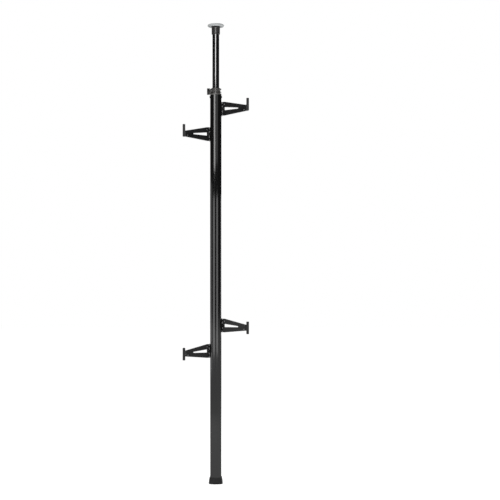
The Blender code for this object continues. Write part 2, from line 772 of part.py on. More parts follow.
def bracket_solid():
    inner = COLUMN_WIDTH / 2 + FIT
    half = ARM_ROOT_HALF_HEIGHT
    plate = prism(
        [rounded_box((-BRACKET_FRONT, -half), (BRACKET_BACK, half), BRACKET_CORNER)],
        inner,
        bracket_face(),
        "YZ",
    )
    plate = softened(plate, BRACKET_EDGE)
    key_side = SLOT_MOUTH / 2 - FIT
    key = block(
        (COLUMN_WIDTH / 2 - SLOT_LIP + FIT, -key_side, -BRACKET_KEY_HALF_HEIGHT),
        (inner + OVERLAP, key_side, BRACKET_KEY_HALF_HEIGHT),
    )
    web = block(
        (bracket_face() - OVERLAP, PIVOT_Y - KNUCKLE_RADIUS, -KNUCKLE_HALF_HEIGHT),
        (PIVOT_X, PIVOT_Y + KNUCKLE_RADIUS, KNUCKLE_HALF_HEIGHT),
    )
    pivot = Matrix.Translation((PIVOT_X, PIVOT_Y, 0))
    knuckle = rod(KNUCKLE_RADIUS, -KNUCKLE_HALF_HEIGHT, KNUCKLE_HALF_HEIGHT, pivot, 20)
    solid = join(plate, key, web, knuckle)
    pin_hole = rod(PIVOT_PIN_RADIUS + FIT, -ARM_ROOT_HALF_HEIGHT, ARM_ROOT_HALF_HEIGHT, pivot)
    holes = [
        rod(BRACKET_SCREW_RADIUS + FIT, 0, PIVOT_X, along((1, 0, 0), (0, 0, height)))
        for height in bracket_screw_heights().values()
    ]
    return cut(solid, pin_hole, *holes)


def slot_nut_solid():
    low = slot_floor() + FIT
    high = COLUMN_WIDTH / 2 - SLOT_LIP - FIT
    side = SLOT_WIDTH / 2 - FIT
    bar = block((low, -side, -NUT_HALF_HEIGHT), (high, side, NUT_HALF_HEIGHT))
    holes = [
        rod(BRACKET_SCREW_RADIUS + FIT, 0, PIVOT_X, along((1, 0, 0), (0, 0, height)))
        for height in bracket_screw_heights().values()
    ]
    return cut(bar, *holes)


def bracket_screw_solid(height):
    head_seat = bracket_face() + FIT
    length = head_seat - (slot_floor() + 2 * FIT)
    solid = screw(BRACKET_SCREW_RADIUS, length, BRACKET_SCREW_HEAD_RADIUS, BRACKET_SCREW_HEAD)
    return moved(solid, along((1, 0, 0), (head_seat, 0, height)))


def pivot_pin_solid():
    half = ARM_ROOT_HALF_HEIGHT - FIT
    edge = PIVOT_PIN_EDGE
    radius = PIVOT_PIN_RADIUS
    profile = [
        (0, half),
        (radius - edge, half),
        (radius, half - edge),
        (radius, edge - half),
        (radius - edge, -half),
        (0, -half),
    ]
    return turned(profile, SMALL_STEPS, Matrix.Translation((PIVOT_X, PIVOT_Y, 0)))


# Arm, in the same frame

def arm_direction():
    """Unit vector from the pivot to the bend."""
    return Vector((ARM_BEND_X - PIVOT_X, ARM_BEND_Y - PIVOT_Y)).normalized()


def front_normal():
    """Unit vector square to the arm's slanted part, towards the front."""
    direction = arm_direction()
    return Vector((direction.y, -direction.x))


def arm_plan():
    """The arm seen from above: knuckle, slanted strip, bend and the start of the cradle."""
    direction = arm_direction()
    heading = math.atan2(direction.y, direction.x)
    half = ARM_THICKNESS / 2
    pivot = Vector((PIVOT_X, PIVOT_Y))
    opening = math.asin(half / KNUCKLE_RADIUS)
    turn = heading + math.pi / 2
    tangent = ARM_BEND_RADIUS * math.tan(turn / 2)
    centre = Vector((ARM_BEND_X, ARM_BEND_Y)) - direction * tangent + front_normal() * ARM_BEND_RADIUS
    knuckle = arc(pivot, KNUCKLE_RADIUS, heading + opening, heading + 2 * math.pi - opening, 12)
    inside = arc(centre, ARM_BEND_RADIUS - half, turn, 0, 5)
    outside = arc(centre, ARM_BEND_RADIUS + half, 0, turn, 5)
    end = [(ARM_BEND_X - half, CRADLE_START), (ARM_BEND_X + half, CRADLE_START)]
    return knuckle + inside + end + outside


def arm_elevation():
    """The arm seen from the front: two struts that run together towards the cradle, round the window."""
    start = PIVOT_X - KNUCKLE_RADIUS - OVERLAP
    end = ARM_BEND_X + ARM_THICKNESS
    narrow = ARM_BEND_X - ARM_THICKNESS / 2
    gap = KNUCKLE_HALF_HEIGHT + FIT
    root = ARM_ROOT_HALF_HEIGHT
    window_start = PIVOT_X + KNUCKLE_RADIUS + WINDOW_MARGIN
    tip = WINDOW_TIP_RADIUS
    return rounded(
        [
            (start, root, 0),
            (ARM_ROOT_END, root, ARM_CORNER),
            (narrow, ARM_TOP, ARM_CORNER),
            (end, ARM_TOP, 0),
            (end, ARM_BOTTOM, 0),
            (narrow, ARM_BOTTOM, ARM_CORNER),
            (ARM_ROOT_END, -root, ARM_CORNER),
            (start, -root, 0),
            (start, -gap, 0),
            (window_start, -gap, WINDOW_CORNER),
            (WINDOW_TIP_X, WINDOW_TIP_Z - tip, 0.95 * tip),
            (WINDOW_TIP_X, WINDOW_TIP_Z + tip, 0.95 * tip),
            (window_start, gap, WINDOW_CORNER),
            (start, gap, 0),
        ]
    )


def core_box(grow=0):
    """Low and high corners, in X and Z, of the arm's core inside the sleeve."""
    half = ARM_THICKNESS / 2 - SLEEVE_WALL + grow
    low = (ARM_BEND_X - half, ARM_BOTTOM + SLEEVE_WALL - grow)
    high = (ARM_BEND_X + half, ARM_TOP - SLEEVE_WALL + grow)
    return low, high


def small_screw_place(reach, height):
    """Matrix for a small screw on the arm's front face, a distance from the pivot."""
    spot = Vector((PIVOT_X, PIVOT_Y)) + arm_direction() * reach
    spot += front_normal() * (ARM_THICKNESS / 2 + FIT)
    normal = front_normal()
    return along((normal.x, normal.y, 0), (spot.x, spot.y, height))


def arm_solid():
    pin_hole = circle((PIVOT_X, PIVOT_Y), PIVOT_PIN_RADIUS + FIT, HOLE_STEPS)
    reach = ARM_ROOT_HALF_HEIGHT + OVERLAP
    plan = prism([arm_plan(), pin_hole], -reach, reach)
    elevation = prism([arm_elevation()], CRADLE_START - OVERLAP, PIVOT_Y + KNUCKLE_RADIUS + OVERLAP, "XZ")
    body = common(plan, elevation)
    core_end = CRADLE_END + FIT - STOP_POCKET
    core = prism([rounded_box(*core_box(), CORE_CORNER, 2)], core_end, CRADLE_START + 3 * OVERLAP, "XZ")
    holes = [
        rod(SMALL_SCREW_RADIUS + FIT, -SMALL_SCREW_LENGTH - OVERLAP, OVERLAP, small_screw_place(*place))
        for place in ((LOCK_SCREW_REACH, LOCK_SCREW_Z), (COVER_SCREW_REACH, COVER_SCREW_Z))
    ]
    return cut(join(body, core), *holes)


def sleeve_solid():
    half = ARM_THICKNESS / 2
    outside = rounded_box((ARM_BEND_X - half, ARM_BOTTOM), (ARM_BEND_X + half, ARM_TOP), SLEEVE_CORNER)
    inside = rounded_box(*core_box(FIT), CORE_CORNER, 2)
    return prism([outside, inside], CRADLE_END + FIT, CRADLE_START - FIT, "XZ")


def end_stop_solid():
    half = STOP_WIDTH / 2
    low = (ARM_BEND_X - half, -STOP_HALF_HEIGHT)
    high = (ARM_BEND_X + half, STOP_HALF_HEIGHT)
    bar = prism([rounded_box(low, high, STOP_CORNER)], CRADLE_END - STOP_THICKNESS, CRADLE_END, "XZ")
    bar = softened(bar, STOP_EDGE, 2)
    pocket = rounded_box(*core_box(FIT), CORE_CORNER, 2)
    return cut(bar, prism([pocket], CRADLE_END - STOP_POCKET, CRADLE_END + OVERLAP, "XZ"))


def small_screw_solid(reach, height):
    solid = screw(
        SMALL_SCREW_RADIUS, SMALL_SCREW_LENGTH, SMALL_SCREW_HEAD_RADIUS, SMALL_SCREW_HEAD, HOLE_STEPS
    )
    return moved(solid, small_screw_place(reach, height))


def make_arms():
    """The four carriages and arms. The solids are made once, for the right, and mirrored for the left."""
    heights = bracket_screw_heights()
    carriage_solids = {
        "bracket": (bracket_solid(), "arm_black"),
        "slot_nut": (slot_nut_solid(), "steel"),
        "bracket_screw_top": (bracket_screw_solid(heights["top"]), "black_steel"),
        "bracket_screw_bottom": (bracket_screw_solid(heights["bottom"]), "black_steel"),
        "pivot_pin": (pivot_pin_solid(), "steel"),
    }
    arm_solids = {
        "arm": (arm_solid(), "arm_black"),
        "saddle_sleeve": (sleeve_solid(), "black_rubber"),
        "end_stop": (end_stop_solid(), "black_rubber"),
        "lock_screw": (small_screw_solid(LOCK_SCREW_REACH, LOCK_SCREW_Z), "steel"),
        "cover_screw": (small_screw_solid(COVER_SCREW_REACH, COVER_SCREW_Z), "steel"),
    }
    to_pivot = Matrix.Translation((-PIVOT_X, -PIVOT_Y, 0))
    for solid, _ in arm_solids.values():
        solid.data.transform(to_pivot)
    for place, height in ARM_HEIGHTS.items():
        side = 1 if place.endswith("right") else -1
        carriage = frame_empty(f"{place}_carriage_frame", (0, 0, height))
        swivel = frame_empty(f"{place}_swivel_frame", (side * PIVOT_X, PIVOT_Y, height), carriage)
        for solids, parent in ((carriage_solids, carriage), (arm_solids, swivel)):
            for kind, (solid, material) in solids.items():
                mesh = solid.data.copy() if side > 0 else mirrored(solid.data)
                piece(f"{place}_{kind}", mesh, material, parent)
    for solid, _ in [*carriage_solids.values(), *arm_solids.values()]:
        bpy.data.objects.remove(solid)


# Scene

def clear_scene():
    for obj in list(bpy.data.objects):
        bpy.data.objects.remove(obj)


def new_collection(name):
    collection = bpy.data.collections.new(name)
    bpy.context.scene.collection.children.link(collection)
    return collection


def make_materials():
    materials = {}
    for name, (colour, roughness, metallic) in COLOURS.items():
        material = bpy.data.materials.new(name)
        material.use_nodes = True
        shader = material.node_tree.nodes["Principled BSDF"]
        shader.inputs["Base Color"].default_value = (*colour, 1)
        shader.inputs["Roughness"].default_value = roughness
        shader.inputs["Metallic"].default_value = metallic
        materials[name] = material
    return materials


clear_scene()
PARTS = new_collection("bike_storage_stand")
WORKSHOP = new_collection("workshop")
MATERIALS = make_materials()

column_frame = frame_empty("column_frame", (0, 0, 0))
knob_frame = frame_empty("knob_frame", clamp_axis(BOSS_END).translation, column_frame)
tube_frame = frame_empty("tube_frame", (0, 0, TUBE_BOTTOM), column_frame)
plunger_frame = frame_empty("plunger_frame", (0, 0, CUP_BOTTOM), tube_frame)

make_column(column_frame)
make_foot(column_frame)
make_collar(column_frame)
make_knob(knob_frame)
make_tube(tube_frame)
make_spring(tube_frame)
make_plunger(plunger_frame)
make_arms()
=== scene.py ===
"""Looks of the bike storage stand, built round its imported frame."""

import math

import bmesh
import bpy
from mathutils import Matrix, Vector


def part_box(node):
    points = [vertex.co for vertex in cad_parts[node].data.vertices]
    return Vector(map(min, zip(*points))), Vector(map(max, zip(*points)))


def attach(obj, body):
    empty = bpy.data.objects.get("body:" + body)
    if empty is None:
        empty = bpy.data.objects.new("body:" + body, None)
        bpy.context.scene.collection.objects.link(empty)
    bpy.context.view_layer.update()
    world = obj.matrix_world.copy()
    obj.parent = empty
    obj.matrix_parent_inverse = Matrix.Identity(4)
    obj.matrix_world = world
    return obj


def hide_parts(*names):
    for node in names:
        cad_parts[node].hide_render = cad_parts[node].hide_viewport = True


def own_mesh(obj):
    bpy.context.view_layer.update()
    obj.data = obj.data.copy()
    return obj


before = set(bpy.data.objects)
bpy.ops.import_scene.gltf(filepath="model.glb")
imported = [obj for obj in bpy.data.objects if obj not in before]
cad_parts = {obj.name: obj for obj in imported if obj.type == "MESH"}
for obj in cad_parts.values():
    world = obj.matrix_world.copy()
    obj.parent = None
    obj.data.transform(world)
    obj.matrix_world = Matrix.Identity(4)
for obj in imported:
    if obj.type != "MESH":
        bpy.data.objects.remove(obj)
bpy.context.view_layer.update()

MM = 0.001
FIT = 0.3 * MM  # gap where pieces touch
OVERLAP = 1 * MM  # how far joined shapes and cutting tools run past a face
PLACES = ("upper_right", "upper_left", "lower_right", "lower_left")

# Sizes read from the frame
COLUMN_LOW, COLUMN_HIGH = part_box("column_extrusion")
FOOT_LOW, FOOT_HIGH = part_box("foot_boot")
TUBE_LOW, TUBE_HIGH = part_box("upper_tube")
CUP_LOW, CUP_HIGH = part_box("plunger_cup")
PAD_LOW, PAD_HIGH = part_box("ceiling_pad")
COLLAR_LOW, COLLAR_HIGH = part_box("clamp_collar")
COLUMN_WIDTH = COLUMN_HIGH.x - COLUMN_LOW.x
COLUMN_TOP = COLUMN_HIGH.z
FOOT_WIDTH = FOOT_HIGH.x - FOOT_LOW.x
FOOT_HEIGHT = FOOT_HIGH.z
TUBE_RADIUS = TUBE_HIGH.x
ARM_HEIGHTS = {}
for place in PLACES:
    bracket_low, bracket_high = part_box(f"{place}_bracket")
    ARM_HEIGHTS[place] = (bracket_low.z + bracket_high.z) / 2

# Column
COLUMN_CORNER = 9 * MM
COLUMN_CROWN = 70 * MM
COLUMN_WALL = 2.4 * MM
SLOT_MOUTH = 8.4 * MM
SLOT_LIP = 2 * MM
SLOT_WIDTH = 16.4 * MM
SLOT_DEPTH = 4.6 * MM
SLOT_WEB = 1.6 * MM
SLOT_EDGE = 0.5 * MM
CHAMBER_CORNER = 3 * MM

# Foot
FOOT_RIM_WIDTH = 64 * MM
FOOT_FLARE = 1.9  # power of the curve from the sole up to the rim
FOOT_FLOOR = 8 * MM
FOOT_EDGE = 2 * MM
FOOT_RIM_EDGE = 0.35 * MM

# Collar and knob
COLLAR_WALL = 6 * MM
COLLAR_WAIST = 6.2 * MM
COLLAR_RING = 11.6 * MM
COLLAR_LIP = 11 * MM
COLLAR_RIM = 3 * MM
COLLAR_RIM_DROP = 2 * MM
COLLAR_LIP_DROP = 4 * MM
COLLAR_LIP_HEIGHT = 4.5 * MM
COLLAR_LIP_UNDERCUT = 3 * MM
COLLAR_RING_RISE = 3.5 * MM
COLLAR_RING_DROP = 3 * MM
COLLAR_RING_HEIGHT = 2 * MM
COLLAR_RING_UNDERCUT = 3 * MM
COLLAR_FLANGE = 5 * MM
COLLAR_FLANGE_INSET = 0.2 * MM
COLLAR_FLANGE_EDGE = 1.2 * MM
COLLAR_RIB_WIDTH = 6 * MM
COLLAR_RIB_INSET = 0.6 * MM
COLLAR_RIB_DROP = 6 * MM
COLLAR_RIB_EDGE = 0.9 * MM
COLLAR_BORE_CHAMFER = 0.8 * MM
COLLAR_TONGUE = 24 * MM
COLLAR_SCREW_DROP = 10 * MM
CLAMP_HEIGHT = 19 * MM
BOSS_RADIUS = 13 * MM
BOSS_END = 30.3 * MM
BOSS_EDGE = 0.8 * MM
POCKET_RADIUS = 6.3 * MM  # for the pressure pad
POCKET_DEPTH = 3 * MM
KNOB_RADIUS = 17.2 * MM
KNOB_THICKNESS = 16.2 * MM
KNOB_LOBES = 8
KNOB_LOBE_DEPTH = 2.2 * MM
KNOB_EDGE = 2 * MM
KNOB_HUB_RADIUS = 11 * MM
KNOB_HUB_HEIGHT = 1 * MM
STUD_RADIUS = 4 * MM
STUD_TO_TUBE = 3.3 * MM
THREAD_PITCH = 1.25 * MM
THREAD_DEPTH = 0.55 * MM

# Tube, cup, pad and spring
TUBE_WALL = 1.8 * MM
TUBE_EDGE = 0.4 * MM
CUP_WALL = 3.7 * MM
CUP_PLATE = 3 * MM
CUP_RING = 0.5 * MM
CUP_RING_HEIGHT = 6.5 * MM
CUP_RING_EDGE = 0.4 * MM
CUP_LIP = 1.2 * MM
CUP_GROOVE = 0.5 * MM
CUP_GROOVE_FLOOR = 0.2 * MM
PAD_RECESS = 3 * MM
PAD_EDGE = 8 * MM
PAD_DISH_RADIUS = 35 * MM
PAD_DISH_STEP = 0.4 * MM
PAD_HOLE_DEPTH = 8.3 * MM
PAD_SCREW_HOLE = 3.3 * MM
PAD_GRIP_RINGS = (10 * MM, 15 * MM, 20 * MM, 25 * MM)
PAD_GRIP_CENTRE = 7 * MM
PAD_GRIP_DEPTH = 0.8 * MM
PAD_GRIP_HALF_WIDTH = 0.9 * MM
PAD_GRIP_HALF_FLOOR = 0.6 * MM
SPRING_WIRE_RADIUS = 1.6 * MM
SPRING_TURNS = 9

# Screws: radii of shanks, holes and heads, and heights of their domes
SCREW_SHANK = 2.5 * MM
SCREW_HOLE = 2.8 * MM
COLLAR_SCREW_HEAD = 6.6 * MM
COLLAR_SCREW_DOME = 2.8 * MM
BRACKET_SCREW_HEAD = 5.2 * MM
BRACKET_SCREW_DOME = 3.3 * MM
SMALL_SCREW_SHANK = 1.6 * MM
SMALL_SCREW_LENGTH = 6 * MM
SMALL_SCREW_HOLE = 1.9 * MM
SMALL_SCREW_HOLE_DEPTH = 7 * MM
SMALL_SCREW_HEAD = 3.4 * MM
SMALL_SCREW_DOME = 2 * MM
SMALL_SCREWS = {"lock_screw": (9 * MM, 23 * MM), "cover_screw": (134 * MM, -14 * MM)}  # reach and height

# Arms, in the frame of their carriage
BRACKET_THICKNESS = 4 * MM
BRACKET_FRONT = 25 * MM
BRACKET_BACK = 20 * MM
BRACKET_CORNER = 4 * MM
BRACKET_EDGE = 1 * MM
BRACKET_SCREW_HEIGHT = 23 * MM
KEY_HALF_HEIGHT = 33 * MM
WEB_FLARE = 2 * MM
WEB_FILLET = 1.5 * MM
PIVOT_X = 41.3 * MM
PIVOT_Y = -16 * MM
PIVOT_PIN_RADIUS = 3 * MM
PIVOT_PIN_EDGE = 0.8 * MM
KNUCKLE_RADIUS = 6.5 * MM
KNUCKLE_HALF_HEIGHT = 8.1 * MM
ARM_THICKNESS = 11 * MM
ARM_ROOT_HALF_HEIGHT = 36 * MM
ARM_ROOT_END = 46.8 * MM
ARM_BEND_X = 163.7 * MM
ARM_BEND_Y = -104 * MM
ARM_BEND_RADIUS = 16 * MM
ARM_TOP = 9.5 * MM
ARM_BOTTOM = -21.5 * MM
ARM_EDGE = 1.1 * MM
STRUT_CORNER = 4 * MM
WINDOW_CORNER = 3 * MM
WINDOW_TIP_X = 117.6 * MM
WINDOW_TIP_Z = -3 * MM
WINDOW_TIP_RADIUS = 3 * MM
WINDOW_MARGIN = 2.3 * MM
CRADLE_START = -114 * MM
CRADLE_END = -199.6 * MM
SLEEVE_WALL = 1.6 * MM
SLEEVE_CORNER = 3 * MM
SLEEVE_EDGE = 0.6 * MM
SLEEVE_GROOVES = 9
SLEEVE_GROOVE_DEPTH = 0.5 * MM
CORE_CORNER = 1.5 * MM
STOP_THICKNESS = 9 * MM
STOP_WIDTH = 13.4 * MM
STOP_HALF_HEIGHT = 32.2 * MM
STOP_POCKET = 4.6 * MM
STOP_CORNER = 3 * MM
STOP_EDGE = 1.6 * MM
STOP_PANEL_INSET = 3.2 * MM
STOP_PANEL_CORNER = 2 * MM
STOP_PANEL_DEPTH = 0.5 * MM


# Outlines

def arc(centre, radius, start, end, steps):
    """Points on an arc between two angles in radians, both ends included."""
    points = []
    for step in range(steps + 1):
        angle = start + (end - start) * step / steps
        x = centre[0] + radius * math.cos(angle)
        y = centre[1] + radius * math.sin(angle)
        points.append((x, y))
    return points


def circle(centre, radius, steps=32):
    return arc(centre, radius, 0, 2 * math.pi, steps)[:-1]


def rounded(corners, steps=8):
    """Closed outline through corners (x, y, radius), each rounded by its own radius, or sharp at 0."""
    outline = []
    for index, (x, y, radius) in enumerate(corners):
        if radius == 0:
            outline.append((x, y))
            continue
        corner = Vector((x, y))
        following = corners[(index + 1) % len(corners)]
        before = (Vector(corners[index - 1][:2]) - corner).normalized()
        after = (Vector(following[:2]) - corner).normalized()
        half = before.angle(after) / 2
        centre = corner + (before + after).normalized() * radius / math.sin(half)
        first = corner + before * radius / math.tan(half) - centre
        last = corner + after * radius / math.tan(half) - centre
        start = math.atan2(first.y, first.x)
        sweep = math.atan2(first.x * last.y - first.y * last.x, first.dot(last))
        outline += arc(centre, radius, start, start + sweep, steps)
    return outline


def rounded_box(low, high, radius, steps=8):
    """Outline of a rectangle from its low corner to its high corner, with round corners."""
    (left, bottom), (right, top) = low, high
    corners = [(left, bottom), (right, bottom), (right, top), (left, top)]
    return rounded([(x, y, radius) for x, y in corners], steps)


def crowned_quarter(width, depth, corner, crown):
    """First quadrant of a rounded square with domed front and back: a corner arc, then half the dome."""
    crown_y = depth / 2 - crown
    corner_x = width / 2 - corner
    corner_y = crown_y + math.sqrt((crown - corner) ** 2 - corner_x**2)
    meeting = math.atan2(corner_y - crown_y, corner_x)
    side = arc((corner_x, corner_y), corner, 0, meeting, 14)
    return side + arc((0, crown_y), crown, meeting, math.pi / 2, 10)[1:]


def all_quarters(quarter):
    """Closed outline from its first quadrant, which runs from the +X side to the point on the Y axis."""
    upper = quarter + [(-x, y) for x, y in reversed(quarter[:-1])]
    return upper + [(-x, -y) for x, y in upper]


def column_quarter(offset):
    """First quadrant of the column's outer side without its slots, moved outwards by an offset."""
    width = COLUMN_WIDTH + 2 * offset
    return crowned_quarter(width, width, COLUMN_CORNER + offset, COLUMN_CROWN + offset)


def column_outline(offset):
    return all_quarters(column_quarter(offset))


# Solids

def placed(name, data):
    obj = bpy.data.objects.new(name, data)
    bpy.context.scene.collection.objects.link(obj)
    return obj


def working(mesh):
    return placed("working_shape", mesh)


def solid_from(obj, matrix=None):
    """A working object with everything of the given one applied, welded, with its faces outwards."""
    bpy.context.view_layer.update()
    graph = bpy.context.evaluated_depsgraph_get()
    mesh = bpy.data.meshes.new_from_object(obj.evaluated_get(graph))
    work = bmesh.new()
    work.from_mesh(mesh)
    bmesh.ops.remove_doubles(work, verts=work.verts, dist=0.002 * MM)
    bmesh.ops.recalc_face_normals(work, faces=work.faces)
    work.to_mesh(mesh)
    work.free()
    if matrix is not None:
        mesh.transform(matrix)
    bpy.data.objects.remove(obj)
    return working(mesh)


def along(direction, origin):
    """Matrix that turns +Z into a direction and moves the origin."""
    turn = Vector((0, 0, 1)).rotation_difference(Vector(direction))
    return Matrix.Translation(origin) @ turn.to_matrix().to_4x4()


PLANES = {
    "XY": Matrix(),
    "XZ": Matrix(((1, 0, 0, 0), (0, 0, 1, 0), (0, 1, 0, 0), (0, 0, 0, 1))),
    "YZ": Matrix(((0, 0, 1, 0), (1, 0, 0, 0), (0, 1, 0, 0), (0, 0, 0, 1))),
}


def prism(outlines, low, high, plane="XY"):
    """Flat outline in a plane, with those after it as its holes, between two values of the third axis."""
    curve = bpy.data.curves.new("outline", "CURVE")
    curve.dimensions = "2D"
    curve.fill_mode = "BOTH"
    curve.extrude = (high - low) / 2
    for outline in outlines:
        spline = curve.splines.new("POLY")
        spline.points.add(len(outline) - 1)
        for point, (x, y) in zip(spline.points, outline):
            point.co = (x, y, 0, 1)
        spline.use_cyclic_u = True
    obj = solid_from(working(curve), PLANES[plane] @ Matrix.Translation((0, 0, (low + high) / 2)))
    return solid_from(obj)


def turned(profile, steps=96, matrix=None, closed=False):
    """Solid turned about +Z from (radius, height) points that run down its outer side."""
    mesh = bpy.data.meshes.new("profile")
    edges = [(index, index + 1) for index in range(len(profile) - 1)]
    if closed:
        edges.append((len(profile) - 1, 0))
    mesh.from_pydata([(radius, 0, height) for radius, height in profile], edges, [])
    obj = working(mesh)
    screw = obj.modifiers.new("Turn", "SCREW")
    screw.steps = screw.render_steps = steps
    screw.use_merge_vertices = True
    screw.merge_threshold = 0.01 * MM
    return solid_from(obj, matrix)


def rod(radius, low, high, matrix=None, steps=32):
    """Cylinder about +Z between two heights."""
    return turned([(0, high), (radius, high), (radius, low), (0, low)], steps, matrix)


def block(low, high):
    """Box between two corners."""
    low = Vector(low)
    high = Vector(high)
    work = bmesh.new()
    size = Matrix.Diagonal((*(high - low), 1))
    bmesh.ops.create_cube(work, size=1, matrix=Matrix.Translation((low + high) / 2) @ size)
    mesh = bpy.data.meshes.new("block")
    work.to_mesh(mesh)
    work.free()
    return working(mesh)


def skinned(rings):
    """Mesh through closed rings of equal point count, with both ends capped."""
    work = bmesh.new()
    rings = [[work.verts.new(point) for point in ring] for ring in rings]
    for lower, upper in zip(rings, rings[1:]):
        for index in range(len(lower)):
            after = (index + 1) % len(lower)
            work.faces.new((lower[index], lower[after], upper[after], upper[index]))
    work.faces.new(reversed(rings[0]))
    work.faces.new(rings[-1])
    bmesh.ops.recalc_face_normals(work, faces=work.faces)
    mesh = bpy.data.meshes.new("skin")
    work.to_mesh(mesh)
    work.free()
    return mesh


def loft(sections):
    """Solid through outlines of equal point count, given as (height, outline) from the bottom up."""
    return working(skinned([[(x, y, height) for x, y in outline] for height, outline in sections]))


def combine(target, tools, operation):
    """Applies one Boolean after another to the target and removes the tools."""
    for tool in tools:
        modifier = target.modifiers.new("Combine", "BOOLEAN")
        modifier.operation = operation
        modifier.object = tool
        target = solid_from(target)
        bpy.data.objects.remove(tool)
    return target


def join(target, *tools):
    return combine(target, tools, "UNION")


def cut(target, *tools):
    return combine(target, tools, "DIFFERENCE")


def common(target, tool):
    return combine(target, [tool], "INTERSECT")


def softened(target, width, segments=3, angle=32):
    """The target with its sharp edges rounded."""
    modifier = target.modifiers.new("Edges", "BEVEL")
    modifier.width = width
    modifier.segments = segments
    modifier.limit_method = "ANGLE"
    modifier.angle_limit = math.radians(angle)
    modifier.use_clamp_overlap = True
    return solid_from(target)


def moved(solid, matrix):
    solid.data.transform(matrix)
    return solid


def mirrored(mesh):
    copy = mesh.copy()
    copy.transform(Matrix.Scale(-1, 4, (1, 0, 0)))
    copy.flip_normals()
    return copy


def dress(name, mesh, material, body, slot, node=None, angle=32):
    """A finished piece: named, shaded, given its material and set on its body."""
    mesh.name = name
    mesh.materials.clear()
    mesh.materials.append(MATERIALS[material])
    mesh.shade_smooth()
    mesh.set_sharp_from_angle(angle=math.radians(angle))
    obj = placed(name, mesh)
    weighted = obj.modifiers.new("Normals", "WEIGHTED_NORMAL")
    weighted.keep_sharp = True
    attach(obj, body)
    if node:
        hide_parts(node)
    return obj


def dress_solid(name, solid, *rest, **settings):
    mesh = solid.data
    bpy.data.objects.remove(solid)
    return dress(name, mesh, *rest, **settings)


def screw(shank, length, head_radius, head, steps=40):
    """Button-head screw: its head's underside is at height 0, its shank runs down, its socket is on top."""
    brim = 0.28  # share of the head's height under its dome
    lowest = math.radians(20)
    profile = [(0, head)]
    for x, y in arc((0, 0), 1, math.pi / 2, lowest, 8)[1:]:
        profile.append((head_radius * x / math.cos(lowest), head * (brim + (1 - brim) * y)))
    profile += [(head_radius, 0), (shank, 0), (shank, -length), (0, -length)]
    solid = turned(profile, steps)
    socket = rod(0.42 * head_radius, 0.3 * head, head + FIT, steps=6)
    return cut(solid, socket)


# Materials

def feed(tree, socket, value):
    """Sets a socket to a number, or links another socket to it."""
    if isinstance(value, (int, float)):
        socket.default_value = value
    else:
        tree.links.new(value, socket)


def maths(tree, operation, first, second):
    node = tree.nodes.new("ShaderNodeMath")
    node.operation = operation
    feed(tree, node.inputs[0], first)
    feed(tree, node.inputs[1], second)
    return node.outputs["Value"]


def map_range(tree, source, given, wanted):
    """Node that spreads the source's values from one range over another."""
    node = tree.nodes.new("ShaderNodeMapRange")
    for socket, value in zip(("From Min", "From Max", "To Min", "To Max"), (*given, *wanted)):
        node.inputs[socket].default_value = value
    tree.links.new(source, node.inputs["Value"])
    return node


class Finish:
    """A Principled material, with short ways to add the nodes that vary it."""

    def __init__(self, name, colour, roughness, metallic=0.0, gloss=0.5):
        self.material = bpy.data.materials.new(name)
        self.material.use_nodes = True
        self.tree = self.material.node_tree
        self.shader = self.tree.nodes["Principled BSDF"]
        self.set("Base Color", (*colour, 1))
        self.set("Roughness", roughness)
        self.set("Metallic", metallic)
        self.set("Specular IOR Level", gloss)
        self.place = self.tree.nodes.new("ShaderNodeTexCoord").outputs["Object"]

    def set(self, socket, value):
        self.shader.inputs[socket].default_value = value

    def link(self, source, target):
        self.tree.links.new(source, target)

    def noise(self, scale, stretch=(1, 1, 1), detail=3, seed=0.0):
        """Noise from 0 to 1. Its scale is in turns a metre, and stretch lengthens it along an axis."""
        mapping = self.tree.nodes.new("ShaderNodeMapping")
        mapping.inputs["Scale"].default_value = [1 / value for value in stretch]
        mapping.inputs["Location"].default_value = (seed, seed, seed)
        self.link(self.place, mapping.inputs["Vector"])
        noise = self.tree.nodes.new("ShaderNodeTexNoise")
        noise.inputs["Scale"].default_value = scale
        noise.inputs["Detail"].default_value = detail
        self.link(mapping.outputs["Vector"], noise.inputs["Vector"])
        return noise.outputs["Fac"]

    def ranged(self, source, low, high, start=0.3, end=0.7):
        return map_range(self.tree, source, (start, end), (low, high)).outputs["Result"]

    def added(self, first, second):
        return maths(self.tree, "ADD", first, second)

    def vary_colour(self, factor, first, second):
        mix = self.tree.nodes.new("ShaderNodeMix")
        mix.data_type = "RGBA"
        colour_inputs = [socket for socket in mix.inputs if socket.type == "RGBA"]
        for socket, colour in zip(colour_inputs, (first, second)):
            socket.default_value = (*colour, 1)
        self.link(factor, mix.inputs["Factor"])
        result = next(socket for socket in mix.outputs if socket.type == "RGBA")
        self.link(result, self.shader.inputs["Base Color"])

    def vary_roughness(self, source):
        self.link(source, self.shader.inputs["Roughness"])

    def bump(self, height, distance):
        node = self.tree.nodes.new("ShaderNodeBump")
        node.inputs["Distance"].default_value = distance
        node.inputs["Strength"].default_value = 1
        self.link(height, node.inputs["Height"])
        self.link(node.outputs["Normal"], self.shader.inputs["Normal"])

    def edges(self):
        """0 on flats and 1 on sharp outer edges."""
        geometry = self.tree.nodes.new("ShaderNodeNewGeometry")
        return self.ranged(geometry.outputs["Pointiness"], 0, 1, 0.52, 0.62)


def anodised():
    """Black anodised extrusion: faint die lines along its length and a few handling smudges."""
    finish = Finish("anodised_black", (0.004, 0.004, 0.0042), 0.14)
    lines = finish.noise(900, (1, 1, 180), 4)
    smudges = finish.noise(9, (1, 1, 2.5), 4, 3.0)
    finish.vary_colour(smudges, (0.0035, 0.0035, 0.0037), (0.005, 0.005, 0.0052))
    rough = finish.added(finish.ranged(lines, -0.02, 0.02), finish.ranged(smudges, 0.065, 0.105))
    finish.vary_roughness(rough)
    finish.bump(lines, 0.012 * MM)
    return finish.material


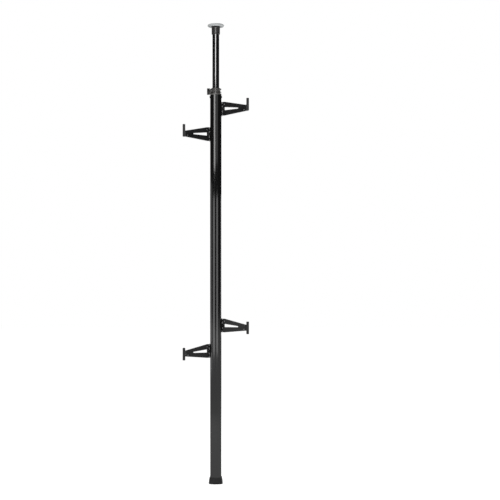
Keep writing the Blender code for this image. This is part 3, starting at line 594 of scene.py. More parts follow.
def gloss_tube():
    """Gloss black enamel with hair-fine rubbing marks from sliding."""
    finish = Finish("gloss_black", (0.003, 0.003, 0.0032), 0.1)
    finish.set("IOR", 1.8)
    marks = finish.noise(700, (1, 1, 260), 3, 1.0)
    haze = finish.noise(14, (1, 1, 4), 3, 5.0)
    finish.vary_colour(haze, (0.0025, 0.0025, 0.0027), (0.004, 0.004, 0.0042))
    rough = finish.added(finish.ranged(marks, -0.02, 0.02), finish.ranged(haze, 0.08, 0.12))
    finish.vary_roughness(rough)
    finish.bump(marks, 0.0005 * MM)
    return finish.material


def moulded(name, dark, light, roughness, gloss=0.5):
    """Moulded plastic with a fine spark-eroded grain, paler where edges are rubbed."""
    finish = Finish(name, dark, roughness, gloss=gloss)
    grain = finish.noise(1500, detail=2)
    tone = finish.noise(60, seed=2.0)
    finish.vary_colour(finish.added(finish.ranged(tone, 0, 0.45), finish.edges()), dark, light)
    finish.vary_roughness(finish.ranged(grain, roughness - 0.06, roughness + 0.08))
    finish.bump(grain, 0.03 * MM)
    return finish.material


def powder_coat(name, dark, light, gloss):
    """Satin black powder coat: orange peel, with rubbed edges."""
    finish = Finish(name, dark, 0.36, gloss=gloss)
    peel = finish.noise(520, detail=2)
    tone = finish.noise(35, seed=4.0)
    patches = finish.ranged(finish.noise(240, detail=4), 0, 0.8)
    wear = maths(finish.tree, "MULTIPLY", finish.edges(), patches)
    finish.vary_colour(finish.added(finish.ranged(tone, 0, 0.25), wear), dark, light)
    finish.vary_roughness(finish.ranged(tone, 0.31, 0.42))
    finish.bump(peel, 0.03 * MM)
    return finish.material


def rubber(name, dark, light, roughness, gloss=0.5, grain=900):
    """Matt rubber with a dusty bloom and a fine skin."""
    finish = Finish(name, dark, roughness, gloss=gloss)
    skin = finish.noise(grain)
    bloom = finish.noise(45, detail=5, seed=6.0)
    finish.vary_colour(finish.added(finish.ranged(bloom, 0, 0.7), finish.edges()), dark, light)
    finish.vary_roughness(finish.ranged(bloom, roughness - 0.06, roughness + 0.08))
    finish.bump(skin, 0.05 * MM)
    return finish.material


def plated(name, colour, roughness):
    """Plated steel with fine tool marks."""
    finish = Finish(name, colour, roughness, metallic=1.0)
    marks = finish.noise(1800)
    patches = finish.noise(160, detail=4, seed=7.0)
    dark = [0.85 * value for value in colour]
    light = [1.15 * value for value in colour]
    finish.vary_colour(patches, dark, light)
    finish.vary_roughness(finish.ranged(patches, roughness - 0.06, roughness + 0.1))
    finish.bump(marks, 0.01 * MM)
    return finish.material


MATERIALS = {
    "anodised": anodised(),
    "tube": gloss_tube(),
    "collar": moulded("grey_plastic", (0.047, 0.045, 0.0435), (0.105, 0.101, 0.098), 0.34),
    "cup": moulded("cup_plastic", (0.0135, 0.013, 0.0128), (0.037, 0.036, 0.035), 0.3),
    # The ring's plastic is darker and duller than the cup's: painted shade under the pad's rim.
    "cup_ring": moulded("ring_plastic_painted_shade", (0.003, 0.003, 0.0032), (0.01, 0.01, 0.0105), 0.5, 0.25),
    "black_plastic": moulded("black_plastic", (0.0055, 0.0052, 0.005), (0.019, 0.018, 0.0175), 0.42, 0.27),
    "arm": powder_coat("arm_black", (0.003, 0.003, 0.0032), (0.02, 0.02, 0.021), 0.3),
    # The bracket's coat is a darker, duller copy of the arm's: painted shade for the shadow gap between
    # column and arm.
    "bracket": powder_coat("bracket_black_painted_shade", (0.0015, 0.0015, 0.0016), (0.008, 0.008, 0.0085), 0.12),
    "foot": rubber("foot_rubber", (0.006, 0.006, 0.0062), (0.015, 0.015, 0.0155), 0.55, 0.3),
    "cradle": rubber("cradle_rubber", (0.005, 0.005, 0.0052), (0.014, 0.014, 0.0145), 0.58, 0.35, 1300),
    "pad": rubber("pad_rubber", (0.37, 0.385, 0.388), (0.475, 0.492, 0.495), 0.62),
    "steel": plated("plated_steel", (0.56, 0.56, 0.57), 0.32),
    "dull_steel": plated("dull_steel", (0.2, 0.2, 0.205), 0.4),
    "black_steel": plated("black_oxide_steel", (0.05, 0.05, 0.052), 0.36),
}


# Column and foot

def slot_floor():
    return COLUMN_WIDTH / 2 - SLOT_LIP - SLOT_DEPTH


def void_half_width():
    return slot_floor() - SLOT_WEB


def slider_outline():
    """Outline that slides in the column's middle chamber."""
    depth = COLUMN_WIDTH - 2 * COLUMN_WALL - 2 * FIT
    width = 2 * (void_half_width() - FIT)
    return all_quarters(crowned_quarter(width, depth, CHAMBER_CORNER, COLUMN_CROWN - COLUMN_WALL - FIT))


def make_column():
    """Extrusion with a domed front and back, a slot with rounded lips down each side and its chamber."""
    mouth = SLOT_MOUTH / 2
    side = SLOT_WIDTH / 2
    face = COLUMN_WIDTH / 2
    lip = face - SLOT_LIP
    edge = SLOT_EDGE
    slot = [(slot_floor(), side), (lip, side)]
    slot += arc((lip + edge, mouth + edge), edge, math.pi, 1.5 * math.pi, 4)
    slot += arc((face - edge, mouth + edge), edge, -math.pi / 2, 0, 4)
    chamber = side + SLOT_WEB
    inner = [(void_half_width(), chamber), (face - COLUMN_WALL, chamber)]
    outside = all_quarters(slot + column_quarter(0))
    inside = all_quarters(inner + column_quarter(-COLUMN_WALL))
    solid = prism([outside, inside], COLUMN_LOW.z, COLUMN_TOP)
    dress_solid("column_profile", solid, "anodised", "column", "column_anodised", node="column_extrusion")


def make_foot():
    """Rubber boot that swells towards the floor, with a rolled edge round its sole and an eased rim."""
    spread = (FOOT_WIDTH - FOOT_RIM_WIDTH) / 2
    rim = (FOOT_RIM_WIDTH - COLUMN_WIDTH) / 2
    sections = []
    steps = 6
    for step in range(steps + 1):
        angle = math.pi / 2 * step / steps
        height = FOOT_EDGE * (1 - math.cos(angle))
        sections.append((height, rim + spread - FOOT_EDGE * (1 - math.sin(angle))))
    rings = 16
    for ring in range(1, rings + 1):
        share = ring / rings
        height = FOOT_EDGE + (FOOT_HEIGHT - FOOT_EDGE) * share
        sections.append((height, rim + spread * (1 - share**FOOT_FLARE)))
    solid = loft([(height, column_outline(offset)) for height, offset in sections])
    solid = cut(solid, prism([column_outline(FIT)], FOOT_FLOOR, FOOT_HEIGHT + FOOT_EDGE))
    solid = softened(solid, FOOT_RIM_EDGE, 2, 50)
    dress_solid("foot_cover", solid, "foot", "column", "foot_rubber", node="foot_boot")


# Clamp collar and knob

def clamp_axis(distance):
    """Matrix whose +Z points out of the clamp boss, to the left, from a distance off the column's axis."""
    return along((-1, 0, 0), (-distance, 0, COLUMN_TOP + CLAMP_HEIGHT))


def collar_profile():
    """Outer side of the collar as (radius, height) points: rim, lip, waist and ring, each corner eased."""
    bore = TUBE_RADIUS + FIT
    top = COLLAR_HIGH.z
    lip = top - COLLAR_LIP_DROP
    lip_low = lip - COLLAR_LIP_HEIGHT
    ring = COLUMN_TOP + CLAMP_HEIGHT - COLLAR_RING_DROP
    ring_low = ring - COLLAR_RING_HEIGHT
    low = COLUMN_TOP + FIT + COLLAR_FLANGE - OVERLAP
    return rounded([
        (0, top, 0),
        (bore + COLLAR_RIM, top, 0.6 * MM),
        (bore + COLLAR_WAIST, top - COLLAR_RIM_DROP, 0.8 * MM),
        (bore + COLLAR_LIP, lip, 0.9 * MM),
        (bore + COLLAR_LIP, lip_low, 0.9 * MM),
        (bore + COLLAR_WALL, lip_low - COLLAR_LIP_UNDERCUT, 1 * MM),
        (bore + COLLAR_WALL, ring + COLLAR_RING_RISE, 1.2 * MM),
        (bore + COLLAR_RING, ring, 0.8 * MM),
        (bore + COLLAR_RING, ring_low, 0.8 * MM),
        (bore + COLLAR_WAIST, ring_low - COLLAR_RING_UNDERCUT, 1 * MM),
        (bore + COLLAR_WAIST, low, 0),
        (0, low, 0),
    ], 5)


def collar_tongues(high):
    """The two bars that run down into the column's slots from a height."""
    inner = slot_floor() + FIT
    outer = COLUMN_WIDTH / 2 - SLOT_LIP - FIT
    half = SLOT_WIDTH / 2 - FIT
    low = COLUMN_TOP - COLLAR_TONGUE
    left = block((-outer, -half, low), (-inner, half, high))
    return left, block((inner, -half, low), (outer, half, high))


def clamp_boss(bore):
    start = bore - OVERLAP
    length = BOSS_END - start
    corner = arc((BOSS_RADIUS - BOSS_EDGE, length - BOSS_EDGE), BOSS_EDGE, math.pi / 2, 0, 4)
    return turned([(0, length), *corner, (BOSS_RADIUS, 0), (0, 0)], 64, clamp_axis(start))


def make_collar():
    """Moulded collar: flange, spigot, tongues, turned body, front and back ribs and the clamp boss."""
    bore = TUBE_RADIUS + FIT
    base = COLUMN_TOP + FIT
    top = COLLAR_HIGH.z
    flange_top = base + COLLAR_FLANGE
    body = turned(collar_profile())
    flange = prism([column_outline(-COLLAR_FLANGE_INSET)], base, flange_top)
    flange = softened(flange, COLLAR_FLANGE_EDGE)
    spigot = prism([slider_outline()], COLLAR_LOW.z, base + OVERLAP)
    half = COLLAR_RIB_WIDTH / 2
    reach = bore + COLLAR_LIP - COLLAR_RIB_INSET
    rib = block((-half, -reach, flange_top - OVERLAP), (half, reach, top - COLLAR_RIB_DROP))
    rib = softened(rib, COLLAR_RIB_EDGE)
    solid = join(flange, spigot, *collar_tongues(base + OVERLAP), body, rib, clamp_boss(bore))
    mouth = bore + COLLAR_BORE_CHAMFER
    rim = turned([(0, top + OVERLAP), (mouth + OVERLAP, top + OVERLAP), (mouth - OVERLAP, top - OVERLAP),
                  (0, top - OVERLAP)])
    tube_hole = rod(bore, COLLAR_LOW.z - OVERLAP, top + OVERLAP, steps=96)
    stud_hole = rod(STUD_RADIUS + FIT, 0, BOSS_END, clamp_axis(bore - OVERLAP))
    run_in = 5 * MM
    pocket = rod(POCKET_RADIUS, 0, run_in + POCKET_DEPTH, clamp_axis(bore - run_in))
    solid = cut(solid, tube_hole, rim, stud_hole, pocket)
    dress_solid("collar_body", solid, "collar", "column", "collar_plastic", node="clamp_collar")


def make_collar_screws():
    seat = COLUMN_WIDTH / 2 + FIT
    height = COLUMN_TOP - COLLAR_SCREW_DROP
    for side, name in ((-1, "collar_screw_left"), (1, "collar_screw_right")):
        length = seat - slot_floor() - FIT
        solid = screw(SCREW_SHANK, length, COLLAR_SCREW_HEAD, COLLAR_SCREW_DOME)
        solid = moved(solid, along((side, 0, 0), (side * seat, 0, height)))
        dress_solid(f"{name}_fine", solid, "black_steel", "column", "black_steel", node=name)


def make_knob():
    """Lobed hand knob: soft lobes, a dished face with a raised cap, and the threaded stud."""
    lobed = []
    points = KNOB_LOBES * 18
    for index in range(points):
        angle = 2 * math.pi * index / points
        radius = KNOB_RADIUS - KNOB_LOBE_DEPTH * (1 - math.cos(KNOB_LOBES * angle)) / 2
        lobed.append((radius * math.cos(angle), radius * math.sin(angle)))
    grip = softened(prism([lobed], KNOB_HUB_HEIGHT, KNOB_THICKNESS), KNOB_EDGE, 5, 50)
    dish = turned([
        (0, KNOB_THICKNESS + OVERLAP),
        (0.66 * KNOB_RADIUS, KNOB_THICKNESS + OVERLAP),
        (0.62 * KNOB_RADIUS, KNOB_THICKNESS - 0.3 * MM),
        (0.54 * KNOB_RADIUS, KNOB_THICKNESS - 1.3 * MM),
        (0.44 * KNOB_RADIUS, KNOB_THICKNESS - 1.4 * MM),
        (0.42 * KNOB_RADIUS, KNOB_THICKNESS - 0.7 * MM),
        (0, KNOB_THICKNESS - 0.4 * MM),
    ], 72)
    grip = cut(grip, dish)
    hub = rod(KNOB_HUB_RADIUS, FIT, KNOB_HUB_HEIGHT + OVERLAP, steps=48)
    length = BOSS_END - (TUBE_RADIUS + STUD_TO_TUBE)
    root = STUD_RADIUS - THREAD_DEPTH
    thread = [(0, OVERLAP)]
    for turn in range(int(length / THREAD_PITCH)):
        crest = -turn * THREAD_PITCH
        thread += [(STUD_RADIUS, crest), (root, crest - THREAD_PITCH / 2)]
    thread += [(root, -length), (0, -length)]
    solid = moved(join(grip, hub, turned(thread, 32)), clamp_axis(BOSS_END))
    dress_solid("knob_grip", solid, "black_plastic", "clamp_knob", "black_plastic", node="clamp_knob")


# Tube, cup, pad and spring

def make_tube():
    """Thin tube with eased ends and the spring seat's cross hole."""
    bore = TUBE_RADIUS - TUBE_WALL
    low = TUBE_LOW.z
    high = TUBE_HIGH.z
    eased = TUBE_RADIUS - TUBE_EDGE
    solid = turned([(eased, high), (TUBE_RADIUS, high - TUBE_EDGE), (TUBE_RADIUS, low + TUBE_EDGE),
                    (eased, low), (bore, low), (bore, high)], 128, closed=True)
    reach = TUBE_RADIUS + OVERLAP
    seat_low, seat_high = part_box("spring_seat")
    across = along((1, 0, 0), (0, 0, (seat_low.z + seat_high.z) / 2))
    solid = cut(solid, rod(SCREW_HOLE, -reach, reach, across))
    dress_solid("tube_polished", solid, "tube", "upper_tube", "tube_gloss", node="upper_tube", angle=40)


def make_cup():
    """Cap under the pad, with two fine grooves and a rolled lower lip, and its ring in the pad's recess."""
    inner = TUBE_RADIUS + FIT
    outer = inner + CUP_WALL
    top = CUP_HIGH.z
    bottom = CUP_LOW.z
    ring_bottom = top - CUP_RING_HEIGHT
    groove_radius = outer - CUP_GROOVE
    profile = [(outer, ring_bottom)]
    for height in (ring_bottom - 4.5 * MM, bottom + 8 * MM):
        profile += [(outer, height + CUP_GROOVE), (groove_radius, height + CUP_GROOVE_FLOOR),
                    (groove_radius, height - CUP_GROOVE_FLOOR), (outer, height - CUP_GROOVE)]
    profile += arc((outer - CUP_LIP, bottom + CUP_LIP), CUP_LIP, 0, -math.pi / 2, 5)
    profile += [(inner, bottom), (inner, ring_bottom)]
    shell = turned(profile, closed=True)
    dress_solid("cup_shell", shell, "cup", "plunger", "collar_plastic", node="plunger_cup")
    ring = outer + CUP_RING
    edge = CUP_RING_EDGE
    plate = top - CUP_PLATE
    profile = [(ring - edge, top), (ring, top - edge), (ring, ring_bottom + edge),
               (ring - edge, ring_bottom), (inner, ring_bottom), (inner, plate),
               (PAD_SCREW_HOLE, plate), (PAD_SCREW_HOLE, top)]
    # The ring gets the darker ring plastic, which is painted shade under the pad.
    dress_solid("cup_ring", turned(profile, closed=True), "cup_ring", "plunger", "collar_plastic")


def make_pad():
    """Rubber pad with a fully rounded edge, a dished underside and shallow grip rings on its flat top."""
    bottom = PAD_LOW.z
    top = PAD_HIGH.z
    half = (top - bottom) / 2
    edge_x = PAD_HIGH.x - PAD_EDGE
    grip_floor = top - PAD_GRIP_DEPTH
    profile = [(0, top), (PAD_GRIP_CENTRE, top)]
    for radius in PAD_GRIP_RINGS:
        profile += [(radius - PAD_GRIP_HALF_WIDTH, top), (radius - PAD_GRIP_HALF_FLOOR, grip_floor),
                    (radius + PAD_GRIP_HALF_FLOOR, grip_floor), (radius + PAD_GRIP_HALF_WIDTH, top)]
    steps = 24
    for step in range(steps + 1):
        angle = math.pi / 2 - math.pi * step / steps
        profile.append((edge_x + PAD_EDGE * math.cos(angle), bottom + half + half * math.sin(angle)))
    recess = TUBE_RADIUS + CUP_WALL + CUP_RING + 2 * FIT
    ceiling = bottom + PAD_RECESS
    hole_end = bottom + PAD_HOLE_DEPTH
    profile += [(PAD_DISH_RADIUS, bottom), (recess + PAD_DISH_STEP, ceiling - PAD_DISH_STEP),
                (recess, ceiling), (PAD_SCREW_HOLE, ceiling), (PAD_SCREW_HOLE, hole_end), (0, hole_end)]
    solid = turned(profile, 128)
    dress_solid("pad_disc", solid, "pad", "plunger", "pad_rubber", node="ceiling_pad", angle=40)


def spring_path(low, high, radius):
    """Points along the wire from its lower to its upper end, with closed end turns."""
    closed = 2.15 * SPRING_WIRE_RADIUS  # climb of an end turn
    pitch = (high - low - 2 * closed) / (SPRING_TURNS - 2)
    steps = 36
    points = []
    for index in range(SPRING_TURNS * steps + 1):
        turn = index / steps
        if turn < 1:
            height = low + closed * turn
        elif turn > SPRING_TURNS - 1:
            height = high - closed * (SPRING_TURNS - turn)
        else:
            height = low + closed + pitch * (turn - 1)
        angle = 2 * math.pi * turn
        points.append(Vector((radius * math.cos(angle), radius * math.sin(angle), height)))
    return points


def make_spring():
    """Compression spring with closed end turns, made at its length in the frame, though the real one
    shortens as the plunger goes in.
    """
    low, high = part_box("tension_spring")
    wire = SPRING_WIRE_RADIUS
    points = spring_path(low.z + wire, high.z - wire, high.x - wire)
    rings = []
    for index, point in enumerate(points):
        ahead = points[min(index + 1, len(points) - 1)] - points[max(index - 1, 0)]
        outward = Vector((point.x, point.y, 0)).normalized()
        upward = ahead.normalized().cross(outward)
        rings.append([point + x * outward + y * upward for x, y in circle((0, 0), wire, 16)])
    coil = dress("spring_coil", skinned(rings), "steel", "upper_tube", "steel", node="tension_spring",
                 angle=60)
    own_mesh(coil)


# Arm carriage, in the frame of its own middle height and for the right-hand side

def bracket_face():
    return COLUMN_WIDTH / 2 + FIT + BRACKET_THICKNESS


def bracket_solid():
    """Plate with eased edges, its key in the slot, and the middle knuckle on a filleted web."""
    inner = COLUMN_WIDTH / 2 + FIT
    face = bracket_face()
    half = ARM_ROOT_HALF_HEIGHT
    outline = rounded_box((-BRACKET_FRONT, -half), (BRACKET_BACK, half), BRACKET_CORNER)
    plate = softened(prism([outline], inner, face, "YZ"), BRACKET_EDGE, 4)
    key_start = COLUMN_WIDTH / 2 - SLOT_LIP + FIT
    key_side = SLOT_MOUTH / 2 - FIT
    key = block((key_start, -key_side, -KEY_HALF_HEIGHT), (inner + OVERLAP, key_side, KEY_HALF_HEIGHT))
    front = PIVOT_Y - KNUCKLE_RADIUS
    back = PIVOT_Y + KNUCKLE_RADIUS
    web = rounded([
        (face - OVERLAP, front - WEB_FLARE, 0),
        (face, front - WEB_FLARE, 0),
        (face + WEB_FLARE, front, WEB_FILLET),
        (PIVOT_X, front, 0),
        (PIVOT_X, back, 0),
        (face + WEB_FLARE, back, WEB_FILLET),
        (face, back + WEB_FLARE, 0),
        (face - OVERLAP, back + WEB_FLARE, 0),
    ], 4)
    pivot = Matrix.Translation((PIVOT_X, PIVOT_Y, 0))
    web = prism([web], -KNUCKLE_HALF_HEIGHT, KNUCKLE_HALF_HEIGHT)
    knuckle = rod(KNUCKLE_RADIUS, -KNUCKLE_HALF_HEIGHT, KNUCKLE_HALF_HEIGHT, pivot, 64)
    solid = join(plate, key, web, knuckle)
    holes = [rod(SCREW_HOLE, 0, PIVOT_X, along((1, 0, 0), (0, 0, height)))
             for height in (-BRACKET_SCREW_HEIGHT, BRACKET_SCREW_HEIGHT)]
    return cut(solid, rod(PIVOT_PIN_RADIUS + FIT, -half, half, pivot), *holes)


def bracket_screw_solid(height):
    seat = bracket_face() + FIT
    length = seat - slot_floor() - 2 * FIT
    solid = screw(SCREW_SHANK, length, BRACKET_SCREW_HEAD, BRACKET_SCREW_DOME)
    return moved(solid, along((1, 0, 0), (seat, 0, height)))


def pivot_pin_solid():
    """Hinge pin with rounded ends, as long as the arm's knuckles reach."""
    half = ARM_ROOT_HALF_HEIGHT - FIT
    edge = PIVOT_PIN_EDGE
    upper = arc((PIVOT_PIN_RADIUS - edge, half - edge), edge, math.pi / 2, 0, 5)
    profile = [(0, half), *upper, *[(x, -y) for x, y in reversed(upper)], (0, -half)]
    return turned(profile, 40, Matrix.Translation((PIVOT_X, PIVOT_Y, 0)))


# Arm, in the same frame

def arm_direction():
    """Unit vector from the pivot to the bend."""
    return Vector((ARM_BEND_X - PIVOT_X, ARM_BEND_Y - PIVOT_Y)).normalized()


def front_normal():
    """Unit vector square to the arm's slanted part, towards the front."""
    direction = arm_direction()
    return Vector((direction.y, -direction.x))


def arm_plan():
    """The arm seen from above: knuckle, slanted strip, bend and the start of the cradle."""
    direction = arm_direction()
    heading = math.atan2(direction.y, direction.x)
    half = ARM_THICKNESS / 2
    pivot = Vector((PIVOT_X, PIVOT_Y))
    opening = math.asin(half / KNUCKLE_RADIUS)
    turn = heading + math.pi / 2
    tangent = ARM_BEND_RADIUS * math.tan(turn / 2)
    centre = Vector((ARM_BEND_X, ARM_BEND_Y)) - direction * tangent + front_normal() * ARM_BEND_RADIUS
    knuckle = arc(pivot, KNUCKLE_RADIUS, heading + opening, heading + 2 * math.pi - opening, 36)
    inside = arc(centre, ARM_BEND_RADIUS - half, turn, 0, 14)
    outside = arc(centre, ARM_BEND_RADIUS + half, 0, turn, 14)
    end = [(ARM_BEND_X - half, CRADLE_START), (ARM_BEND_X + half, CRADLE_START)]
    return knuckle + inside + end + outside


def arm_elevation():
    """The arm seen from the front: two struts that run together towards the cradle, round the window."""
    start = PIVOT_X - KNUCKLE_RADIUS - OVERLAP
    end = ARM_BEND_X + ARM_THICKNESS
    narrow = ARM_BEND_X - ARM_THICKNESS / 2
    gap = KNUCKLE_HALF_HEIGHT + FIT
    root = ARM_ROOT_HALF_HEIGHT
    window_start = PIVOT_X + KNUCKLE_RADIUS + WINDOW_MARGIN
    tip = WINDOW_TIP_RADIUS
    tip_corner = 0.95 * tip
    return rounded([
        (start, root, 0),
        (ARM_ROOT_END, root, STRUT_CORNER),
        (narrow, ARM_TOP, STRUT_CORNER),
        (end, ARM_TOP, 0),
        (end, ARM_BOTTOM, 0),
        (narrow, ARM_BOTTOM, STRUT_CORNER),
        (ARM_ROOT_END, -root, STRUT_CORNER),
        (start, -root, 0),
        (start, -gap, 0),
        (window_start, -gap, WINDOW_CORNER),
        (WINDOW_TIP_X, WINDOW_TIP_Z - tip, tip_corner),
        (WINDOW_TIP_X, WINDOW_TIP_Z + tip, tip_corner),
        (window_start, gap, WINDOW_CORNER),
        (start, gap, 0),
    ], 8)


def core_prism(grow, low, high):
    """The arm's core inside the sleeve, grown all round, between two values of Y."""
    half = ARM_THICKNESS / 2 - SLEEVE_WALL + grow
    corner = (ARM_BEND_X - half, ARM_BOTTOM + SLEEVE_WALL - grow)
    opposite = (ARM_BEND_X + half, ARM_TOP - SLEEVE_WALL + grow)
    return prism([rounded_box(corner, opposite, CORE_CORNER)], low, high, "XZ")


def small_screw_place(reach, height):
    """Matrix for a small screw on the arm's front face, a distance from the pivot."""
    spot = Vector((PIVOT_X, PIVOT_Y)) + arm_direction() * reach
    spot += front_normal() * (ARM_THICKNESS / 2 + FIT)
    normal = front_normal()
    return along((normal.x, normal.y, 0), (spot.x, spot.y, height))


def arm_solid():
    """The forked arm with its pin hole, its core for the sleeve and the holes of its small screws."""
    pin_hole = circle((PIVOT_X, PIVOT_Y), PIVOT_PIN_RADIUS + FIT)
    half = ARM_ROOT_HALF_HEIGHT + OVERLAP
    plan = prism([arm_plan(), pin_hole], -half, half)
    elevation = prism([arm_elevation()], CRADLE_START - OVERLAP, PIVOT_Y + KNUCKLE_RADIUS + OVERLAP, "XZ")
    body = softened(common(plan, elevation), ARM_EDGE, 4, 50)
    core = core_prism(0, CRADLE_END + FIT - STOP_POCKET, CRADLE_START + 3 * OVERLAP)
    holes = [rod(SMALL_SCREW_HOLE, -SMALL_SCREW_HOLE_DEPTH, OVERLAP, small_screw_place(*place))
             for place in SMALL_SCREWS.values()]
    return cut(join(body, core), *holes)


def sleeve_section(inset):
    half = ARM_THICKNESS / 2 - inset
    low = (ARM_BEND_X - half, ARM_BOTTOM + inset)
    high = (ARM_BEND_X + half, ARM_TOP - inset)
    return rounded_box(low, high, SLEEVE_CORNER - inset)


def sleeve_solid():
    """Rubber sleeve with rounded corners and shallow grip grooves across it."""
    start = CRADLE_END + FIT
    end = CRADLE_START - FIT
    sections = [(start, sleeve_section(SLEEVE_EDGE)), (start + SLEEVE_EDGE, sleeve_section(0))]
    groove = ((-1.1, 0), (-0.6, 0.8), (-0.2, 1), (0.2, 1), (0.6, 0.8), (1.1, 0))  # place in mm, depth share
    for number in range(1, SLEEVE_GROOVES + 1):
        middle = start + (end - start) * number / (SLEEVE_GROOVES + 1)
        for offset, share in groove:
            sections.append((middle + offset * MM, sleeve_section(SLEEVE_GROOVE_DEPTH * share)))
    sections += [(end - SLEEVE_EDGE, sleeve_section(0)), (end, sleeve_section(SLEEVE_EDGE))]
    solid = solid_from(moved(loft(sections), PLANES["XZ"]))
    return cut(solid, core_prism(FIT, start - OVERLAP, end + OVERLAP))


def end_stop_solid():
    """Rubber-covered bar across the arm's tip, with full rounding and a moulded panel in its front."""
    low = (ARM_BEND_X - STOP_WIDTH / 2, -STOP_HALF_HEIGHT)
    high = (ARM_BEND_X + STOP_WIDTH / 2, STOP_HALF_HEIGHT)
    front = CRADLE_END - STOP_THICKNESS
    bar = softened(prism([rounded_box(low, high, STOP_CORNER)], front, CRADLE_END, "XZ"), STOP_EDGE, 5)
    inset = STOP_PANEL_INSET
    panel_low = (low[0] + inset, low[1] + 2 * inset)
    panel_high = (high[0] - inset, high[1] - 2 * inset)
    panel = rounded_box(panel_low, panel_high, STOP_PANEL_CORNER)
    panel = prism([panel], front - OVERLAP, front + STOP_PANEL_DEPTH, "XZ")
    pocket = core_prism(FIT, CRADLE_END - STOP_POCKET, CRADLE_END + OVERLAP)
    return cut(bar, panel, pocket)


def small_screw_solid(kind):
    solid = screw(SMALL_SCREW_SHANK, SMALL_SCREW_LENGTH, SMALL_SCREW_HEAD, SMALL_SCREW_DOME, 32)
    return moved(solid, small_screw_place(*SMALL_SCREWS[kind]))


def make_arms():
    """The four carriages and arms. The solids are made once, for the right, and mirrored for the left."""
    upper_screw = bracket_screw_solid(BRACKET_SCREW_HEIGHT)
    lower_screw = bracket_screw_solid(-BRACKET_SCREW_HEIGHT)
    solids = {
        # The bracket takes the darker bracket coat, which is painted shade between column and arm.
        "bracket": (bracket_solid(), "carriage", "bracket", "arm_paint"),
        "bracket_screw_top": (upper_screw, "carriage", "black_steel", "black_steel"),
        "bracket_screw_bottom": (lower_screw, "carriage", "black_steel", "black_steel"),
        "pivot_pin": (pivot_pin_solid(), "carriage", "steel", "steel"),
        "arm": (arm_solid(), "arm", "arm", "arm_paint"),
        "saddle_sleeve": (sleeve_solid(), "arm", "cradle", "cradle_rubber"),
        "end_stop": (end_stop_solid(), "arm", "cradle", "cradle_rubber"),
    }
    for kind in SMALL_SCREWS:
        solids[kind] = (small_screw_solid(kind), "arm", "dull_steel", "steel")
    for place, height in ARM_HEIGHTS.items():
        for kind, (solid, body, material, slot) in solids.items():
            mesh = solid.data.copy() if place.endswith("right") else mirrored(solid.data)
            mesh.transform(Matrix.Translation((0, 0, height)))
            node = f"{place}_{kind}"
            dress(f"{node}_fine", mesh, material, f"{place}_{body}", slot, node=node)
    for solid, *_ in solids.values():
        bpy.data.objects.remove(solid)


def paint_inner_nodes():
    """Finishes for the pieces inside, which keep their CAD shapes."""
    plastic = ["clamp_pressure_pad", "tube_guide_plug", "spring_seat"]
    steel = ["spring_seat_pin", "plunger_stem", "pad_screw", *[f"{place}_slot_nut" for place in PLACES]]
    finishes = {**dict.fromkeys(plastic, "black_plastic"), **dict.fromkeys(steel, "steel")}
    for node, material in finishes.items():
        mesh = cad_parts[node].data
        mesh.materials.clear()
        mesh.materials.append(MATERIALS[material])


# Camera, light and floor

def make_camera():
    """Long lens six metres in front, with the horizon at the photograph's middle height."""
    data = bpy.data.cameras.new("camera")
    camera = placed("camera", data)
    camera.location = (0, -6, 1.235)
    camera.rotation_euler = (math.pi / 2, 0, 0)
    data.sensor_width = 36
    data.lens = 81.2
    data.shift_x = 0.0684
    data.shift_y = 0.002
    bpy.context.scene.camera = camera


def softbox(name, bearings, heights, radiance):
    """Upright light that faces the stand. Its bearings are in degrees from the camera's, to the right."""
    distance = 2.6
    start, end = bearings
    low, high = heights
    middle = math.radians((start + end) / 2)
    data = bpy.data.lights.new(name, "AREA")
    data.shape = "RECTANGLE"
    data.size = 2 * distance * math.tan(math.radians(end - start) / 2)
    data.size_y = high - low
    data.energy = radiance * math.pi * data.size * data.size_y
    lamp = placed(name, data)
    lamp.location = (distance * math.sin(middle), -distance * math.cos(middle), (low + high) / 2)
    lamp.rotation_euler = (math.pi / 2, 0, middle)
    lamp.visible_camera = False


def make_lights():
    """Softboxes beside the camera, bright ones higher up, a rim light and dim walls at the sides."""
    softbox("left_box", (-24, -8), (0.45, 1.65), 2.6)
    softbox("right_box", (4.5, 19), (0.45, 1.65), 2.5)
    softbox("right_rim", (100, 132), (0.6, 1.65), 9)
    softbox("upper_box", (-17, -4.5), (1.85, 2.5), 7.2)
    softbox("upper_glow", (-1, 18), (1.9, 3.0), 0.9)
    softbox("top_box", (-21, 3), (2.52, 3.1), 11)
    softbox("left_wall", (-72, -32), (0.3, 1.75), 1.1)
    softbox("left_fill", (-110, -76), (0.3, 2.7), 0.25)
    softbox("right_fill", (60, 100), (0.3, 2.7), 0.05)


def shader_mix(tree, factor, first, second):
    mix = tree.nodes.new("ShaderNodeMixShader")
    tree.links.new(factor, mix.inputs[0])
    tree.links.new(first, mix.inputs[1])
    tree.links.new(second, mix.inputs[2])
    return mix.outputs[0]


def highest(tree, *sources):
    result = sources[0]
    for source in sources[1:]:
        result = maths(tree, "MAXIMUM", result, source)
    return result


def background(tree, strength):
    node = tree.nodes.new("ShaderNodeBackground")
    node.inputs["Color"].default_value = (1, 1, 1, 1)
    feed(tree, node.inputs["Strength"], strength)
    return node.outputs[0]


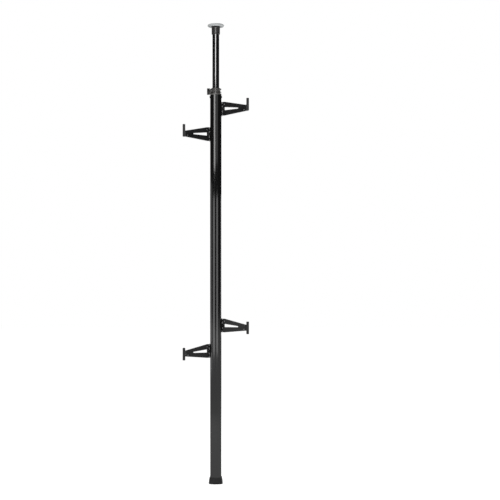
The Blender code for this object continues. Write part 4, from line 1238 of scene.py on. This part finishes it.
def make_world():
    """A pale studio: white for the camera, dim as a light, and for gloss white behind and dark in front."""
    room_light = 0.5
    front_gloss = 0.02
    back_starts = 0.92  # direction's Y from which gloss sees the white back wall
    world = bpy.data.worlds.new("studio")
    world.use_nodes = True
    tree = world.node_tree
    tree.nodes.clear()
    path = tree.nodes.new("ShaderNodeLightPath").outputs
    place = tree.nodes.new("ShaderNodeTexCoord")
    split = tree.nodes.new("ShaderNodeSeparateXYZ")
    tree.links.new(place.outputs["Generated"], split.inputs[0])
    behind = map_range(tree, split.outputs["Y"], (back_starts, 1), (front_gloss, 1))
    behind.interpolation_type = "SMOOTHSTEP"
    light = background(tree, room_light)
    gloss = background(tree, behind.outputs["Result"])
    white = background(tree, 1)
    lit = shader_mix(tree, path["Is Glossy Ray"], light, gloss)
    seen = highest(tree, path["Is Camera Ray"], path["Is Transmission Ray"])
    output = tree.nodes.new("ShaderNodeOutputWorld")
    tree.links.new(shader_mix(tree, seen, lit, white), output.inputs[0])
    bpy.context.scene.world = world


def make_floor():
    """Pale floor that the camera and gloss see as white, apart from the stand's shadow."""
    size = 12
    glow_strength = 0.62
    gloss_share = 0.75
    mesh = bpy.data.meshes.new("floor")
    corners = [(-size, -size, 0), (size, -size, 0), (size, size, 0), (-size, size, 0)]
    mesh.from_pydata(corners, [], [(0, 1, 2, 3)])
    floor = placed("floor", mesh)
    material = bpy.data.materials.new("floor_pale")
    material.use_nodes = True
    tree = material.node_tree
    tree.nodes.clear()
    matt = tree.nodes.new("ShaderNodeBsdfDiffuse")
    matt.inputs["Color"].default_value = (0.8, 0.8, 0.8, 1)
    path = tree.nodes.new("ShaderNodeLightPath").outputs
    glow = tree.nodes.new("ShaderNodeEmission")
    gloss = maths(tree, "MULTIPLY", path["Is Glossy Ray"], gloss_share)
    seen = highest(tree, path["Is Camera Ray"], gloss, path["Is Transmission Ray"])
    tree.links.new(maths(tree, "MULTIPLY", seen, glow_strength), glow.inputs["Strength"])
    both = tree.nodes.new("ShaderNodeAddShader")
    tree.links.new(matt.outputs[0], both.inputs[0])
    tree.links.new(glow.outputs[0], both.inputs[1])
    output = tree.nodes.new("ShaderNodeOutputMaterial")
    tree.links.new(both.outputs[0], output.inputs[0])
    mesh.materials.append(material)


make_column()
make_foot()
make_collar()
make_collar_screws()
make_knob()
make_tube()
make_cup()
make_pad()
make_arms()
make_spring()
paint_inner_nodes()

make_camera()
make_lights()
make_world()
make_floor()
bpy.context.scene.view_settings.view_transform = "Standard"
